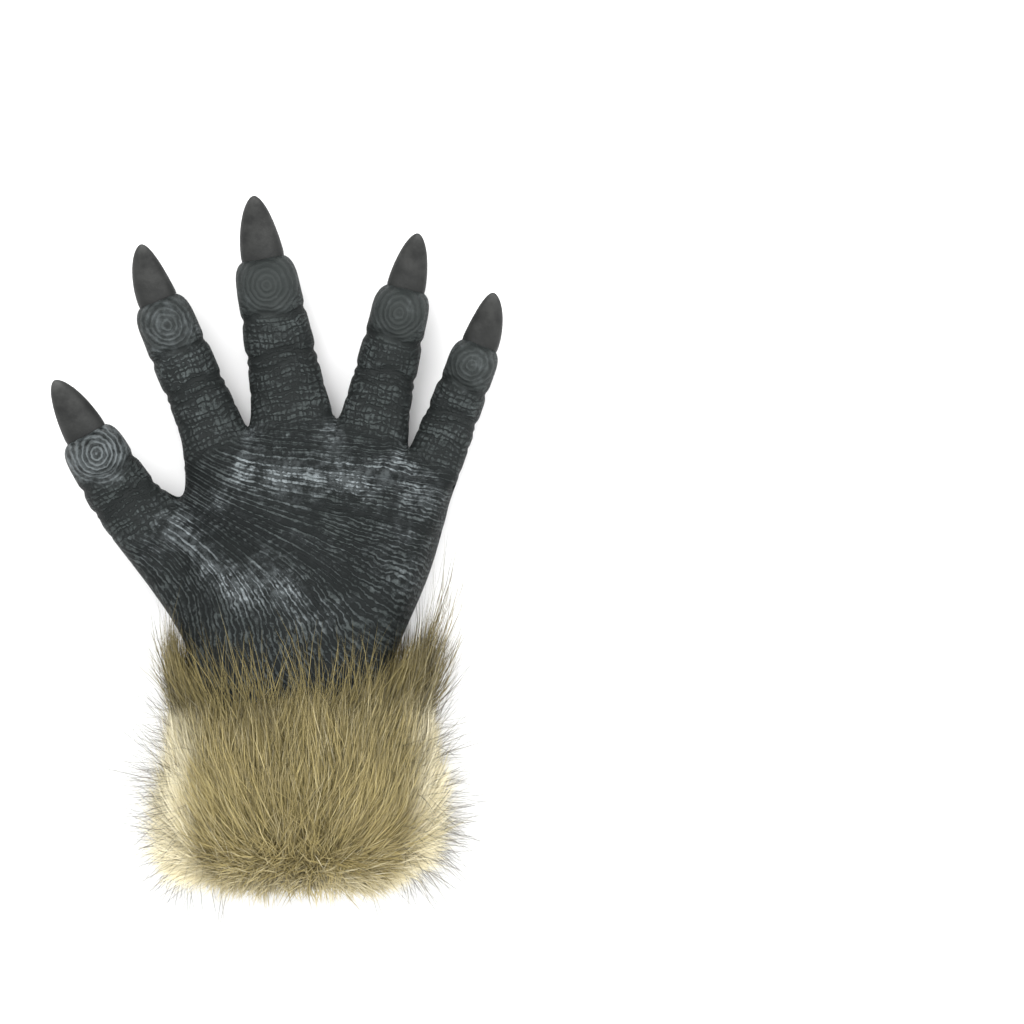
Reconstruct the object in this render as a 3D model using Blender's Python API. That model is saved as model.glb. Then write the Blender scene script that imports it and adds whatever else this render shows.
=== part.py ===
"""Werewolf costume glove: a hollow moulded latex hand, five claws and a deep fur cuff.

The left-hand glove lies on its back, palm up.  +Y runs from the cuff to the fingers, +X from the
thumb side to the little finger, +Z up out of the palm.  The origin is on the floor, under the
middle of the cuff.  All sizes are metres.
"""

import math
import random
from collections import namedtuple

import bmesh
import bpy
from mathutils import Vector

# Sizes of the latex hand
PALM_WIDTH = 0.110  # across the finger roots
PALM_LENGTH = 0.1045  # from the wrist to the web between middle and ring finger
PALM_THICKNESS = 0.0385
WRIST_WIDTH = 0.0785
WRIST_THICKNESS = 0.0465
WRIST_Y = 0.038  # from the origin to the wrist, along the glove
SLEEVE_LENGTH = 0.052  # latex below the wrist, hidden in the cuff
WRIST_LIFT = 0.0125  # how much higher the wrist's middle lies than the knuckles'
SHELL_WALL = 0.0022
WEB_THICKNESS = 0.014

# Sizes of the fingers and the thumb
FINGER_LENGTH = 0.073  # middle finger, from its root to the end of its pad
FINGER_WIDTH = 0.0275  # middle finger, across its pad
FINGER_CURL = 16.0  # degrees that a finger rises from its root to its end
PAD_BULGE = 0.0034  # how far the finger pads stand out on the palm side
TIP_WALL = 0.0025  # latex between a claw's socket and the hollow of its finger

# Sizes of the claws
CLAW_LENGTH = 0.0270
CLAW_WIDTH = 0.0182
CLAW_THICKNESS = 0.0140
CLAW_ROOT_DEPTH = 0.0065  # how far a claw is set into its fingertip
CLAW_CURL = 26.0  # degrees that a claw hooks towards the palm side
CLAW_DROP = 0.0020  # how much nearer to the hand's back a claw lies than its finger's middle

# Sizes of the cuff
CUFF_TOP_Y = 0.021
CUFF_LENGTH = 0.070
CUFF_WIDTH = 0.083  # of the opening that the arm goes through
CUFF_THICKNESS = 0.0460  # of the same opening, from palm side to back
CUFF_LIFT = 0.0285  # height of the opening's middle above the floor
CUFF_SHIFT = 0.0050  # the fur's middle from the opening's, towards the little finger
BACKING_WALL = 0.0025
FUR_DEPTH = 0.0125  # dense fur, from its backing to where the locks part
LOCK_LENGTH = 0.028
LOCK_JITTER = 0.16  # how unevenly the locks grow, as a share of their length
LEAN_JITTER = 1.2  # degrees
SWAY = 0.10  # how far a lock's tip swings sideways, as a share of its length
TWIST = 0.36  # how far each row of locks is turned round from the last, as a share of a lock
SIDE_TUFT = 0.75  # how much longer the first locks grow at the two sides, as a share of their length

SEAT_GAP = 0.0003  # between pieces that touch on the real glove
CUT_MARGIN = 0.010  # how far a cutter runs past what it cuts

Section = namedtuple("Section", "along width offset thickness lift ball heel hollow")
# Palm sections from the wrist: along is a share of PALM_LENGTH, width and offset of PALM_WIDTH,
# thickness of PALM_THICKNESS and lift of WRIST_LIFT.  ball, heel and hollow are how far the ball
# of the thumb and the heel of the hand stand out and the palm's middle sinks in, as shares of
# PALM_THICKNESS.
PALM_SECTIONS = [
    Section(along=0.16, width=0.840, offset=-0.022, thickness=1.10, lift=0.78, ball=0.10, heel=0.08, hollow=0.05),
    Section(along=0.40, width=1.000, offset=0.005, thickness=1.08, lift=0.46, ball=0.17, heel=0.11, hollow=0.10),
    Section(along=0.660, width=1.005, offset=0.058, thickness=1.00, lift=0.14, ball=0.03, heel=0.08, hollow=0.09),
]
Mound = namedtuple("Mound", "across spread")
# Where the ball, the heel and the hollow lie across the palm, as shares of its width
BALL = Mound(across=0.24, spread=0.20)
HEEL = Mound(across=0.82, spread=0.18)
HOLLOW = Mound(across=0.54, spread=0.15)
KNUCKLE_SHARE = 0.418  # height of the fingers' roots above the floor, of PALM_THICKNESS
WRIST_OFFSET = -0.040  # share of PALM_WIDTH

Web = namedtuple("Web", "x y")
# Where the fingers part, as shares of PALM_WIDTH and PALM_LENGTH: thumb side, three webs, outer side.
WEBS = [
    Web(x=-0.445, y=0.800),
    Web(x=-0.200, y=0.945),
    Web(x=0.133, y=0.975),
    Web(x=0.405, y=0.865),
    Web(x=0.598, y=0.755),
]

Digit = namedtuple("Digit", "name root_x root_y heading turn length width swell claw claw_turn")
# root_x and root_y are shares of PALM_WIDTH and PALM_LENGTH, length of FINGER_LENGTH, width of
# FINGER_WIDTH, and claw of the claw sizes.  heading is in degrees from +Y towards the thumb side,
# turn is what it gains by the fingertip and claw_turn what the claw gains after that.  swell is
# how much wider than its pad a digit is at its root.
FINGERS = [
    Digit("index", -0.312, 0.895, 23.5, -1.5, 0.935, 0.915, 1.10, 0.93, -15),
    Digit("middle", -0.031, 0.992, 10.0, 0.5, 0.985, 1.000, 1.22, 1.00, -7),
    Digit("ring", 0.267, 0.945, -13.0, -1.0, 0.885, 0.905, 1.18, 0.90, 1),
    Digit("little", 0.507, 0.820, -20.5, -1.0, 0.765, 0.775, 1.14, 0.86, 14),
]
THUMB = Digit("thumb", -0.562, 0.510, 36.0, -8.0, 0.750, 0.980, 1.22, 1.00, 2)
THUMB_RISE = 0.004  # the thumb's root, above the palm's middle

Ring = namedtuple("Ring", "along swell width depth pad")
# Sections of a digit: along is a share of its length, swell is how much of the root's swell is
# left, width and depth are shares of its pad width, and pad of PAD_BULGE.
DIGIT_RINGS = [
    Ring(along=0.13, swell=0.95, width=0.99, depth=0.84, pad=0.0),
    Ring(along=0.29, swell=0.65, width=1.00, depth=0.86, pad=0.4),
    Ring(along=0.43, swell=0.40, width=0.98, depth=0.84, pad=0.0),
    Ring(along=0.56, swell=0.25, width=1.01, depth=0.85, pad=0.4),
    Ring(along=0.685, swell=0.08, width=0.96, depth=0.78, pad=-0.1),
    Ring(along=0.82, swell=0.00, width=1.05, depth=0.82, pad=1.0),
    Ring(along=0.95, swell=0.00, width=1.00, depth=0.80, pad=0.8),
    Ring(along=1.00, swell=0.00, width=0.78, depth=0.66, pad=0.1),
]

ClawRing = namedtuple("ClawRing", "along size")
# Sections of a claw from its lip to its blunt tip, as shares of its length and of its width.
CLAW_RINGS = [
    ClawRing(along=0.00, size=1.00),
    ClawRing(along=0.22, size=0.95),
    ClawRing(along=0.44, size=0.83),
    ClawRing(along=0.66, size=0.67),
    ClawRing(along=0.84, size=0.47),
    ClawRing(along=0.95, size=0.29),
    ClawRing(along=1.00, size=0.12),
]
CLAW_SIDES = 12
CLAW_ROOT_SIZE = 0.94  # of its lip

CuffSection = namedtuple("CuffSection", "along fur lean length tuft")
# Sections of the dense fur: along is a share of CUFF_LENGTH from the finger end, fur of FUR_DEPTH.
# A row of locks grows between each section and the next: lean is in degrees from straight out
# towards the fingers, length is a share of LOCK_LENGTH and tuft of SIDE_TUFT.
CUFF_SECTIONS = [
    CuffSection(along=0.00, fur=0.15, lean=84, length=0.95, tuft=0.9),
    CuffSection(along=0.12, fur=0.62, lean=79, length=1.00, tuft=0.8),
    CuffSection(along=0.28, fur=0.90, lean=74, length=0.95, tuft=0.2),
    CuffSection(along=0.46, fur=1.05, lean=67, length=0.90, tuft=0.0),
    CuffSection(along=0.64, fur=1.08, lean=57, length=0.85, tuft=0.0),
    CuffSection(along=0.81, fur=0.95, lean=-50, length=0.70, tuft=0.0),
    CuffSection(along=0.94, fur=0.55, lean=-80, length=0.85, tuft=0.0),
    CuffSection(along=1.00, fur=0.18, lean=-90, length=0.0, tuft=0.0),
]
CUFF_SIDES = 20

LockRing = namedtuple("LockRing", "along size droop")
# A lock from its cell of dense fur to its tip, as shares of its length and of the cell.  droop is
# in degrees that it lies flatter than its lean.
LOCK_RINGS = [
    LockRing(along=0.28, size=0.90, droop=-3),
    LockRing(along=0.66, size=0.58, droop=0),
]

# Columns of palm vertices: two for each finger and one more, on each face of the palm.
COLUMNS = 2 * len(FINGERS) + 1
# A subdivided tube lies this much inside the cage of eight corners that it is drawn from.
CAGE_FIT = 0.945
CORNER = 0.76  # how full the corners of a digit's section are
# How thick the palm and the wrist are at their edges, as shares of their thickness
PALM_EDGE = 0.52
WRIST_EDGE = 0.72


def clear_scene():
    for old in list(bpy.data.objects):
        bpy.data.objects.remove(old, do_unlink=True)


def material(name, colour, roughness):
    made = bpy.data.materials.new(name)
    made.use_nodes = True
    shader = made.node_tree.nodes["Principled BSDF"]
    shader.inputs["Base Color"].default_value = (*colour, 1.0)
    shader.inputs["Roughness"].default_value = roughness
    shader.inputs["Metallic"].default_value = 0.0
    return made


def new_object(name, mesh_data, finish=None):
    made = bpy.data.objects.new(name, mesh_data)
    bpy.context.scene.collection.objects.link(made)
    if finish is not None:
        mesh_data.materials.append(finish)
    return made


def object_from(name, build, finish=None):
    """An object whose mesh is what build(bm) puts into an empty bmesh."""
    bm = bmesh.new()
    build(bm)
    bmesh.ops.recalc_face_normals(bm, faces=bm.faces)
    data = bpy.data.meshes.new(name)
    bm.to_mesh(data)
    bm.free()
    return new_object(name, data, finish)


def subdivide(obj):
    modifier = obj.modifiers.new("smooth", "SUBSURF")
    modifier.levels = 1
    modifier.render_levels = 1


def cut_away(obj, other):
    modifier = obj.modifiers.new(f"less {other.name}", "BOOLEAN")
    modifier.operation = "DIFFERENCE"
    modifier.object = other
    modifier.solver = "EXACT"
    other.hide_render = True
    other.display_type = "WIRE"


def bridge(bm, first, second):
    """Quads between two rings of as many corners."""
    count = len(first)
    for i in range(count):
        j = (i + 1) % count
        bm.faces.new((first[i], first[j], second[j], second[i]))


def heading_vectors(heading, pitch):
    """Forward, sideways and up for a digit that points heading degrees from +Y, pitched up."""
    turn, rise = math.radians(heading), math.radians(pitch)
    forward = Vector((-math.sin(turn) * math.cos(rise), math.cos(turn) * math.cos(rise), math.sin(rise)))
    sideways = Vector((math.cos(turn), math.sin(turn), 0.0))
    return forward, sideways, sideways.cross(forward)


def palm_point(x_share, y_share):
    return x_share * PALM_WIDTH, WRIST_Y + y_share * PALM_LENGTH


def knuckle_height():
    return PALM_THICKNESS * KNUCKLE_SHARE


def digit_width(digit, ring):
    return digit.width * FINGER_WIDTH * ring.width * (1 + (digit.swell - 1) * ring.swell)


def digit_root(digit):
    x, y = palm_point(digit.root_x, digit.root_y)
    return Vector((x, y, knuckle_height() + (THUMB_RISE if digit is THUMB else 0.0)))


def digit_frames(digit, shares):
    """Middle point and directions of a digit at each share of its length."""
    point, done, frames = digit_root(digit), 0.0, []
    for share in shares:
        middle = (share + done) / 2
        step = (share - done) * digit.length * FINGER_LENGTH
        point = point + heading_vectors(digit.heading + digit.turn * middle, FINGER_CURL * middle)[0] * step
        done = share
        frames.append((point, heading_vectors(digit.heading + digit.turn * share, FINGER_CURL * share)))
    return frames


def digit_cage(bm, digit, loop, inset, setback):
    """A digit drawn from the eight corners of loop to its closed end."""
    length = digit.length * FINGER_LENGTH
    reach = 1.0 - setback / length
    rings = [r for r in DIGIT_RINGS if r.along * length < length - setback - inset]
    shares = [r.along * (reach if setback else 1.0) for r in rings]
    last = loop
    for ring, (point, (_, sideways, up)) in zip(rings, digit_frames(digit, shares)):
        half = (digit_width(digit, ring) / 2 - inset) / CAGE_FIT
        depth = (digit.width * FINGER_WIDTH * ring.depth / 2 - inset) / CAGE_FIT
        palm_side = depth + PAD_BULGE * ring.pad
        corners = []
        for eighth in (3, 2, 1, 0, -1, -2, -3, 4):
            angle = eighth * math.pi / 4
            full = 1.0 if eighth % 2 == 0 else CORNER / math.cos(math.pi / 4)
            rise = (palm_side if eighth in (1, 2, 3) else depth) * math.sin(angle) * full
            corners.append(bm.verts.new(point + sideways * half * math.cos(angle) * full + up * rise))
        bridge(bm, last, corners)
        last = corners
    end, (forward, _, _) = digit_frames(digit, [*shares, min(1.0, shares[-1] + 0.02)])[-1]
    tip = bm.verts.new(end - forward * inset)
    for i in range(0, 8, 2):
        bm.faces.new((last[i], last[i + 1], last[(i + 2) % 8], tip))


def column_profile(share):
    """Height of the palm's face at a share of its width, from 0 at the edges to 1."""
    return (1 - abs(2 * share - 1) ** 2.6) ** 0.42


def mound_height(section, share):
    """How far the palm stands out at a share of its width."""
    parts = ((section.ball, BALL), (section.heel, HEEL), (-section.hollow, HOLLOW))
    return PALM_THICKNESS * sum(h * math.exp(-((share - m.across) / m.spread) ** 2) for h, m in parts)


def palm_rings(inset, sleeve_end):
    """Place, half width, half thickness and section of every whole ring of the palm and sleeve."""
    wrist_z = knuckle_height() + WRIST_LIFT
    wrist = (WRIST_OFFSET * PALM_WIDTH, wrist_z, WRIST_WIDTH / 2 - inset, WRIST_THICKNESS / 2 - inset, None)
    rings = [(y, *wrist) for y in (sleeve_end, (sleeve_end + WRIST_Y) / 2, WRIST_Y - SLEEVE_LENGTH * 0.1)]
    for section in PALM_SECTIONS:
        rings.append((
            WRIST_Y + section.along * PALM_LENGTH,
            section.offset * PALM_WIDTH,
            knuckle_height() + section.lift * WRIST_LIFT,
            section.width * PALM_WIDTH / 2 - inset,
            section.thickness * PALM_THICKNESS / 2 - inset,
            section,
        ))
    return rings


def whole_ring(bm, y, x, z, half_width, half_thickness, section):
    """Palm face from thumb side to outer side, outer edge, back face, thumb edge."""
    shares = [i / (COLUMNS - 1) for i in range(COLUMNS)]
    # The outer columns move in a little, so that the edges are round
    across = [x + half_width * math.sin((s - 0.5) * math.pi * 0.86) / math.sin(0.43 * math.pi) * 0.95 for s in shares]
    edge = PALM_EDGE if section else WRIST_EDGE
    rise = [half_thickness * max(edge, column_profile(s)) for s in shares]
    mounds = [mound_height(section, s) if section else 0.0 for s in shares]
    palm = [bm.verts.new((a, y, z + r + m)) for a, r, m in zip(across, rise, mounds)]
    back = [bm.verts.new((a, y, z - r)) for a, r in zip(across, rise)]
    outer = bm.verts.new((x + half_width * 1.03, y, z))
    thumb = bm.verts.new((x - half_width * 1.03, y, z))
    return palm, outer, back, thumb


def root_ring(bm, inset):
    """The curved last section of the palm, whose columns are the webs and the fingers' middles."""
    z = knuckle_height()
    palm, back, middles = [], [], []
    for column in range(COLUMNS):
        if column % 2:
            left, right = WEBS[column // 2], WEBS[column // 2 + 1]
            x, y = palm_point((left.x + right.x) / 2, (left.y + right.y) / 2)
            half = FINGERS[column // 2].width * FINGER_WIDTH * 0.53
        else:
            x, y = palm_point(WEBS[column // 2].x, WEBS[column // 2].y)
            half = WEB_THICKNESS / 2
            y -= inset
            if column in (0, COLUMNS - 1):
                x += inset if column == 0 else -inset
                half = FINGERS[-1].width * FINGER_WIDTH * 0.34
            middles.append(bm.verts.new((x, y, z)))
        half = max(half - inset, 0.2 * half)
        palm.append(bm.verts.new((x, y, z + half)))
        back.append(bm.verts.new((x, y, z - half)))
    return palm, middles, back


def loop_of(ring):
    palm, outer, back, thumb = ring
    return [*palm, outer, *reversed(back), thumb]


def hand_cage(bm, inset=0.0, setback=0.0, sleeve_end=None):
    """The whole hand, moved in by inset, with digits shortened by setback, closed at the sleeve."""
    crease = bm.edges.layers.float.new("crease_edge")
    end = WRIST_Y - SLEEVE_LENGTH if sleeve_end is None else sleeve_end
    rings = [whole_ring(bm, *ring) for ring in palm_rings(inset, end)]
    for edge in bm.faces.new(loop_of(rings[0])).edges:
        edge[crease] = 1.0
    for first, second in zip(rings, rings[1:]):
        bridge(bm, loop_of(first), loop_of(second))
    palm, middles, back = root_ring(bm, inset)
    bridge(bm, loop_of(rings[-1]), loop_of((palm, middles[-1], back, middles[0])))
    for number, finger in enumerate(FINGERS):
        a, b, c = 2 * number, 2 * number + 1, 2 * number + 2
        loop = [palm[a], palm[b], palm[c], middles[number + 1], back[c], back[b], back[a], middles[number]]
        digit_cage(bm, finger, loop, inset, setback)
    # The thumb grows from the thumb edge between three sections
    low, mid, high = rings[-3], rings[-2], rings[-1]
    loop = [low[0][0], mid[0][0], high[0][0], high[3], high[2][0], mid[2][0], low[2][0], low[3]]
    bmesh.ops.delete(bm, geom=[mid[3]], context="VERTS")
    digit_cage(bm, THUMB, loop, inset, setback)


def claw_cage(bm, digit, grow=0.0):
    """A claw from its root in the fingertip to its blunt tip, made bigger by grow all round."""
    base, (forward, _, up) = digit_frames(digit, [1.0])[0]
    length = digit.claw * CLAW_LENGTH
    base = base - up * CLAW_DROP
    root = base - forward * (CLAW_ROOT_DEPTH + grow)
    half_width = digit.claw * CLAW_WIDTH / 2
    half_depth = digit.claw * CLAW_THICKNESS / 2
    stations = [(0.0, CLAW_ROOT_SIZE, root)]
    point, done = base, 0.0
    for ring in CLAW_RINGS:
        middle = (ring.along + done) / 2
        step = (ring.along - done) * length
        heading = digit.heading + digit.turn + digit.claw_turn * middle
        point = point + heading_vectors(heading, FINGER_CURL + CLAW_CURL * middle)[0] * step
        done = ring.along
        stations.append((ring.along, ring.size, point))
    last = None
    for along, size, middle in stations:
        heading = digit.heading + digit.turn + digit.claw_turn * along
        _, sideways, up = heading_vectors(heading, FINGER_CURL + CLAW_CURL * along)
        corners = []
        for i in range(CLAW_SIDES):
            angle = -2 * math.pi * i / CLAW_SIDES
            depth = (half_depth * size + grow) * (0.85 if math.sin(angle) > 0 else 1.0)
            side = sideways * (half_width * size + grow) * math.cos(angle)
            corners.append(bm.verts.new(middle + side + up * depth * math.sin(angle)))
        if last is None:
            bm.faces.new(corners)
        else:
            bridge(bm, last, corners)
        last = corners
    tip = bm.verts.new(point + heading_vectors(heading, FINGER_CURL + CLAW_CURL)[0] * (0.012 * length + grow))
    for i in range(CLAW_SIDES):
        bm.faces.new((last[i], last[(i + 1) % CLAW_SIDES], tip))


def oval_point(angle, half_width, half_thickness, shift):
    """x and z of a point on the cuff's oval section."""
    c, s = math.cos(angle), math.sin(angle)
    x = WRIST_OFFSET * PALM_WIDTH + shift + half_width * math.copysign(abs(c) ** 0.86, c)
    return x, CUFF_LIFT + half_thickness * math.copysign(abs(s) ** 0.86, s)


def cuff_outline(y, half_width, half_thickness, sides, shift=0.0, twist=0.0):
    """A closed oval section of the cuff, seen along the glove."""
    angles = [2 * math.pi * (i + twist) / sides for i in range(sides)]
    ovals = [oval_point(angle, half_width, half_thickness, shift) for angle in angles]
    return [(x, y, z) for x, z in ovals]


def tube_cage(bm, outlines):
    last = None
    for outline in outlines:
        ring = [bm.verts.new(p) for p in outline]
        if last is None:
            bm.faces.new(ring)
        else:
            bridge(bm, last, ring)
        last = ring
    bm.faces.new(last)


def cuff_y(along):
    return CUFF_TOP_Y - along * CUFF_LENGTH


def lock(bm, cell, outward, length, lean, sway):
    """One fur lock that tapers from a cell of the dense fur to a tip that leans along the glove."""
    middle = sum((v.co for v in cell), Vector()) / len(cell)
    aside = outward.cross(Vector((0, 1, 0))) * sway

    def at(share, droop):
        tilt = math.radians(lean + math.copysign(droop, lean))
        way = outward * math.cos(tilt) + Vector((0, math.sin(tilt), 0)) + aside * share
        return middle + way * length * share

    last = cell
    for ring in LOCK_RINGS:
        centre = at(ring.along, ring.droop)
        corners = [bm.verts.new(centre + (v.co - middle) * ring.size) for v in cell]
        bridge(bm, last, corners)
        last = corners
    tip = bm.verts.new(at(1.0, 2))
    for i in range(len(last)):
        bm.faces.new((last[i], last[(i + 1) % len(last)], tip))


def fur(bm):
    """The dense fur round its backing, each of its cells grown out into a lock."""
    chance = random.Random(5)
    base_width = CUFF_WIDTH / 2 + BACKING_WALL
    base_thickness = CUFF_THICKNESS / 2 + BACKING_WALL
    rings = []
    for row, section in enumerate(CUFF_SECTIONS):
        depth = section.fur * FUR_DEPTH
        sizes = (base_width + depth, base_thickness + depth)
        outline = cuff_outline(
            cuff_y(section.along), *sizes, CUFF_SIDES, shift=CUFF_SHIFT * section.fur, twist=TWIST * row)
        rings.append([bm.verts.new(p) for p in outline])
    bm.faces.new(rings[0])
    bm.faces.new(rings[-1])
    for row, (section, first, second) in enumerate(zip(CUFF_SECTIONS, rings, rings[1:])):
        for i in range(CUFF_SIDES):
            j = (i + 1) % CUFF_SIDES
            angle = 2 * math.pi * (i + 0.5 + TWIST * (row + 0.5)) / CUFF_SIDES
            outward = Vector((math.cos(angle) / base_width, 0, math.sin(angle) / base_thickness)).normalized()
            uneven = 1 + LOCK_JITTER * (2 * chance.random() - 1)
            tuft = 1 + SIDE_TUFT * section.tuft * abs(math.cos(angle)) ** 8
            lean = section.lean + LEAN_JITTER * (2 * chance.random() - 1)
            sway = SWAY * (2 * chance.random() - 1)
            cell = (first[i], first[j], second[j], second[i])
            if section.length:
                lock(bm, cell, outward, section.length * LOCK_LENGTH * uneven * tuft, lean, sway)
            else:
                bm.faces.new(cell)


def arm_opening(bm):
    """The bore of the cuff, from its open end to where the latex sleeve starts."""
    narrow = WRIST_WIDTH / 2 - SHELL_WALL
    start = WRIST_Y - SLEEVE_LENGTH
    low = WRIST_THICKNESS / 2 - SHELL_WALL
    tube_cage(bm, [
        cuff_outline(cuff_y(1.0) - CUT_MARGIN, CUFF_WIDTH / 2, CUFF_THICKNESS / 2, 24),
        cuff_outline(cuff_y(1.0), CUFF_WIDTH / 2, CUFF_THICKNESS / 2, 24),
        cuff_outline(start - SEAT_GAP, CUFF_WIDTH / 2 - SEAT_GAP, CUFF_THICKNESS / 2 - SEAT_GAP, 24),
        cuff_outline(start + CUT_MARGIN / 2, min(narrow, CUFF_WIDTH / 2) - CUT_MARGIN / 2, low - CUT_MARGIN / 2, 24),
    ])


def floor_slab(bm):
    """What the floor takes away from the fur, so that the glove rests flat on it."""
    reach = PALM_WIDTH + PALM_LENGTH + CUFF_LENGTH
    made = bmesh.ops.create_cube(bm, size=1.0)
    bmesh.ops.scale(bm, vec=(reach, reach, reach), verts=made["verts"])
    bmesh.ops.translate(bm, vec=(0, 0, -reach / 2), verts=made["verts"])


def shade(obj, degrees):
    obj.data.shade_smooth()
    obj.data.set_sharp_from_angle(angle=math.radians(degrees))


def make_hand(finish):
    hand = object_from("latex_hand", hand_cage, finish)
    subdivide(hand)
    cavity = object_from(
        "hand_hollow",
        lambda bm: hand_cage(
            bm,
            inset=SHELL_WALL,
            setback=CLAW_ROOT_DEPTH + TIP_WALL,
            sleeve_end=WRIST_Y - SLEEVE_LENGTH - CUT_MARGIN,
        ),
    )
    subdivide(cavity)
    cut_away(hand, cavity)

    def sockets(bm):
        for digit in (*FINGERS, THUMB):
            claw_cage(bm, digit, grow=SEAT_GAP)

    cut_away(hand, object_from("claw_sockets", sockets))
    shade(hand, 50)
    return hand


def make_claws(finish):
    claws = []
    for digit in (*FINGERS, THUMB):
        claw = object_from(f"claw_{digit.name}", lambda bm, d=digit: claw_cage(bm, d), finish)
        shade(claw, 50)
        claws.append(claw)
    return claws


def make_cuff(finish):
    cuff = object_from("fur_cuff", fur, finish)
    sleeve_end = WRIST_Y - SLEEVE_LENGTH - 2 * SEAT_GAP
    around_hand = object_from("room_for_hand", lambda bm: hand_cage(bm, inset=-SEAT_GAP, sleeve_end=sleeve_end))
    subdivide(around_hand)
    cut_away(cuff, around_hand)
    cut_away(cuff, object_from("arm_opening", arm_opening))
    cut_away(cuff, object_from("floor", floor_slab))
    shade(cuff, 40)
    return cuff


def main():
    clear_scene()
    glove = bpy.data.objects.new("glove", None)
    bpy.context.scene.collection.objects.link(glove)
    latex = material("black_latex", (0.045, 0.052, 0.052), 0.45)
    horn = material("claw_latex", (0.060, 0.064, 0.062), 0.60)
    fur = material("tan_fur", (0.27, 0.22, 0.12), 0.90)
    for piece in (make_hand(latex), *make_claws(horn), make_cuff(fur)):
        piece.parent = glove


main()
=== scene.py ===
"""The looks of a werewolf costume glove: wrinkled black latex, grey claws and a deep tan fur cuff.

The left-hand glove lies on its back, palm up.  +Y runs from the cuff to the fingers, +X from the
thumb side to the little finger, +Z up out of the palm.  All sizes are metres.
"""

from collections import namedtuple
import math

import bmesh
import bpy
import numpy as np
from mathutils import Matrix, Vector

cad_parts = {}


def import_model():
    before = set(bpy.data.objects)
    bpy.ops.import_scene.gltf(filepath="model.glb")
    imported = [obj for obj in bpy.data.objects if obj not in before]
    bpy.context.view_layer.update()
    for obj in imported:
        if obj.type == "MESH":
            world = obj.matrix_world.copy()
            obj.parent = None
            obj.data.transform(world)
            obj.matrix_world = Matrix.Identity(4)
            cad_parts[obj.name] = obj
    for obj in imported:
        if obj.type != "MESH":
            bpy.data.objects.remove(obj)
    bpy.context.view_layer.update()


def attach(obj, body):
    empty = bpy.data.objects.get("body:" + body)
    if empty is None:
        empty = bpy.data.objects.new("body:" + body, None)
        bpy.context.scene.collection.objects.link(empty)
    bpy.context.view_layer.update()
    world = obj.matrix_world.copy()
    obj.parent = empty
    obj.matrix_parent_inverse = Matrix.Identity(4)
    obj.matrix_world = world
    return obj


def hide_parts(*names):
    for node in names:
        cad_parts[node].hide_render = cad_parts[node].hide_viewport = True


# Sizes of the latex hand
PALM_WIDTH = 0.110
PALM_LENGTH = 0.1045
PALM_THICKNESS = 0.0385
WRIST_WIDTH = 0.0785
WRIST_THICKNESS = 0.0465
WRIST_Y = 0.038
WRIST_OFFSET = -0.040 * PALM_WIDTH
WRIST_LIFT = 0.0125
SLEEVE_END = WRIST_Y - 0.052
SHELL_WALL = 0.0022
WEB_THICKNESS = 0.014
KNUCKLE_HEIGHT = 0.418 * PALM_THICKNESS

# Sizes of the digits and their claws
FINGER_LENGTH = 0.073
FINGER_WIDTH = 0.0275
FINGER_CURL = 16.0
PAD_BULGE = 0.0034
CLAW_LENGTH = 0.0283
CLAW_WIDTH = 0.0182
CLAW_THICKNESS = 0.0140
CLAW_ROOT_DEPTH = 0.0065
CLAW_CURL = 26.0
CLAW_DROP = 0.0020

# Sizes of the cuff
CUFF_TOP_Y = 0.021
CUFF_LENGTH = 0.070
CUFF_WIDTH = 0.083
CUFF_THICKNESS = 0.0460
CUFF_LIFT = 0.0285
CUFF_SHIFT = 0.0050
BACKING_WALL = 0.0025
FUR_DEPTH = 0.0125

Section = namedtuple("Section", "along width offset thickness lift ball heel hollow")
# Palm sections from the wrist, as shares of PALM_LENGTH, PALM_WIDTH, PALM_THICKNESS and WRIST_LIFT
PALM_SECTIONS = [
    Section(0.16, 0.840, -0.022, 1.10, 0.78, ball=0.10, heel=0.08, hollow=0.05),
    Section(0.40, 1.000, 0.005, 1.08, 0.46, ball=0.17, heel=0.11, hollow=0.10),
    Section(0.66, 1.005, 0.058, 1.00, 0.14, ball=0.03, heel=0.08, hollow=0.09),
]
Mound = namedtuple("Mound", "across spread")
BALL = Mound(across=0.24, spread=0.20)
HEEL = Mound(across=0.82, spread=0.18)
HOLLOW = Mound(across=0.54, spread=0.15)

# Where the fingers part, as shares of PALM_WIDTH and PALM_LENGTH
WEBS = np.array([(-0.445, 0.800), (-0.200, 0.945), (0.133, 0.975), (0.405, 0.865), (0.598, 0.755)])

Digit = namedtuple("Digit", "name root_x root_y heading turn length width swell claw claw_turn rise")
FINGERS = [
    Digit("index", -0.312, 0.895, 23.5, -1.5, 0.935, 0.915, 1.10, 0.93, -15, 0.0),
    Digit("middle", -0.031, 0.992, 10.0, 0.5, 0.985, 1.000, 1.22, 1.00, -7, 0.0),
    Digit("ring", 0.267, 0.945, -13.0, -1.0, 0.885, 0.905, 1.18, 0.90, 1, 0.0),
    Digit("little", 0.507, 0.820, -20.5, -1.0, 0.765, 0.775, 1.14, 0.86, 14, 0.0),
]
THUMB = Digit("thumb", -0.562, 0.510, 36.0, -8.0, 0.750, 0.980, 1.22, 1.00, 2, 0.004)
DIGITS = [*FINGERS, THUMB]

# Sections of a digit: share of its length, share of its root's swell, width, depth and pad
DIGIT_RINGS = np.array([
    (0.15, 0.95, 0.99, 0.84, 0.0),
    (0.36, 0.55, 1.00, 0.85, 0.2),
    (0.56, 0.25, 1.02, 0.85, 0.4),
    (0.71, 0.07, 0.99, 0.80, 0.2),
    (0.84, 0.00, 1.00, 0.83, 1.1),
    (0.94, 0.00, 0.94, 0.79, 0.9),
    (0.995, 0.00, 0.68, 0.62, 0.3),
])

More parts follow.
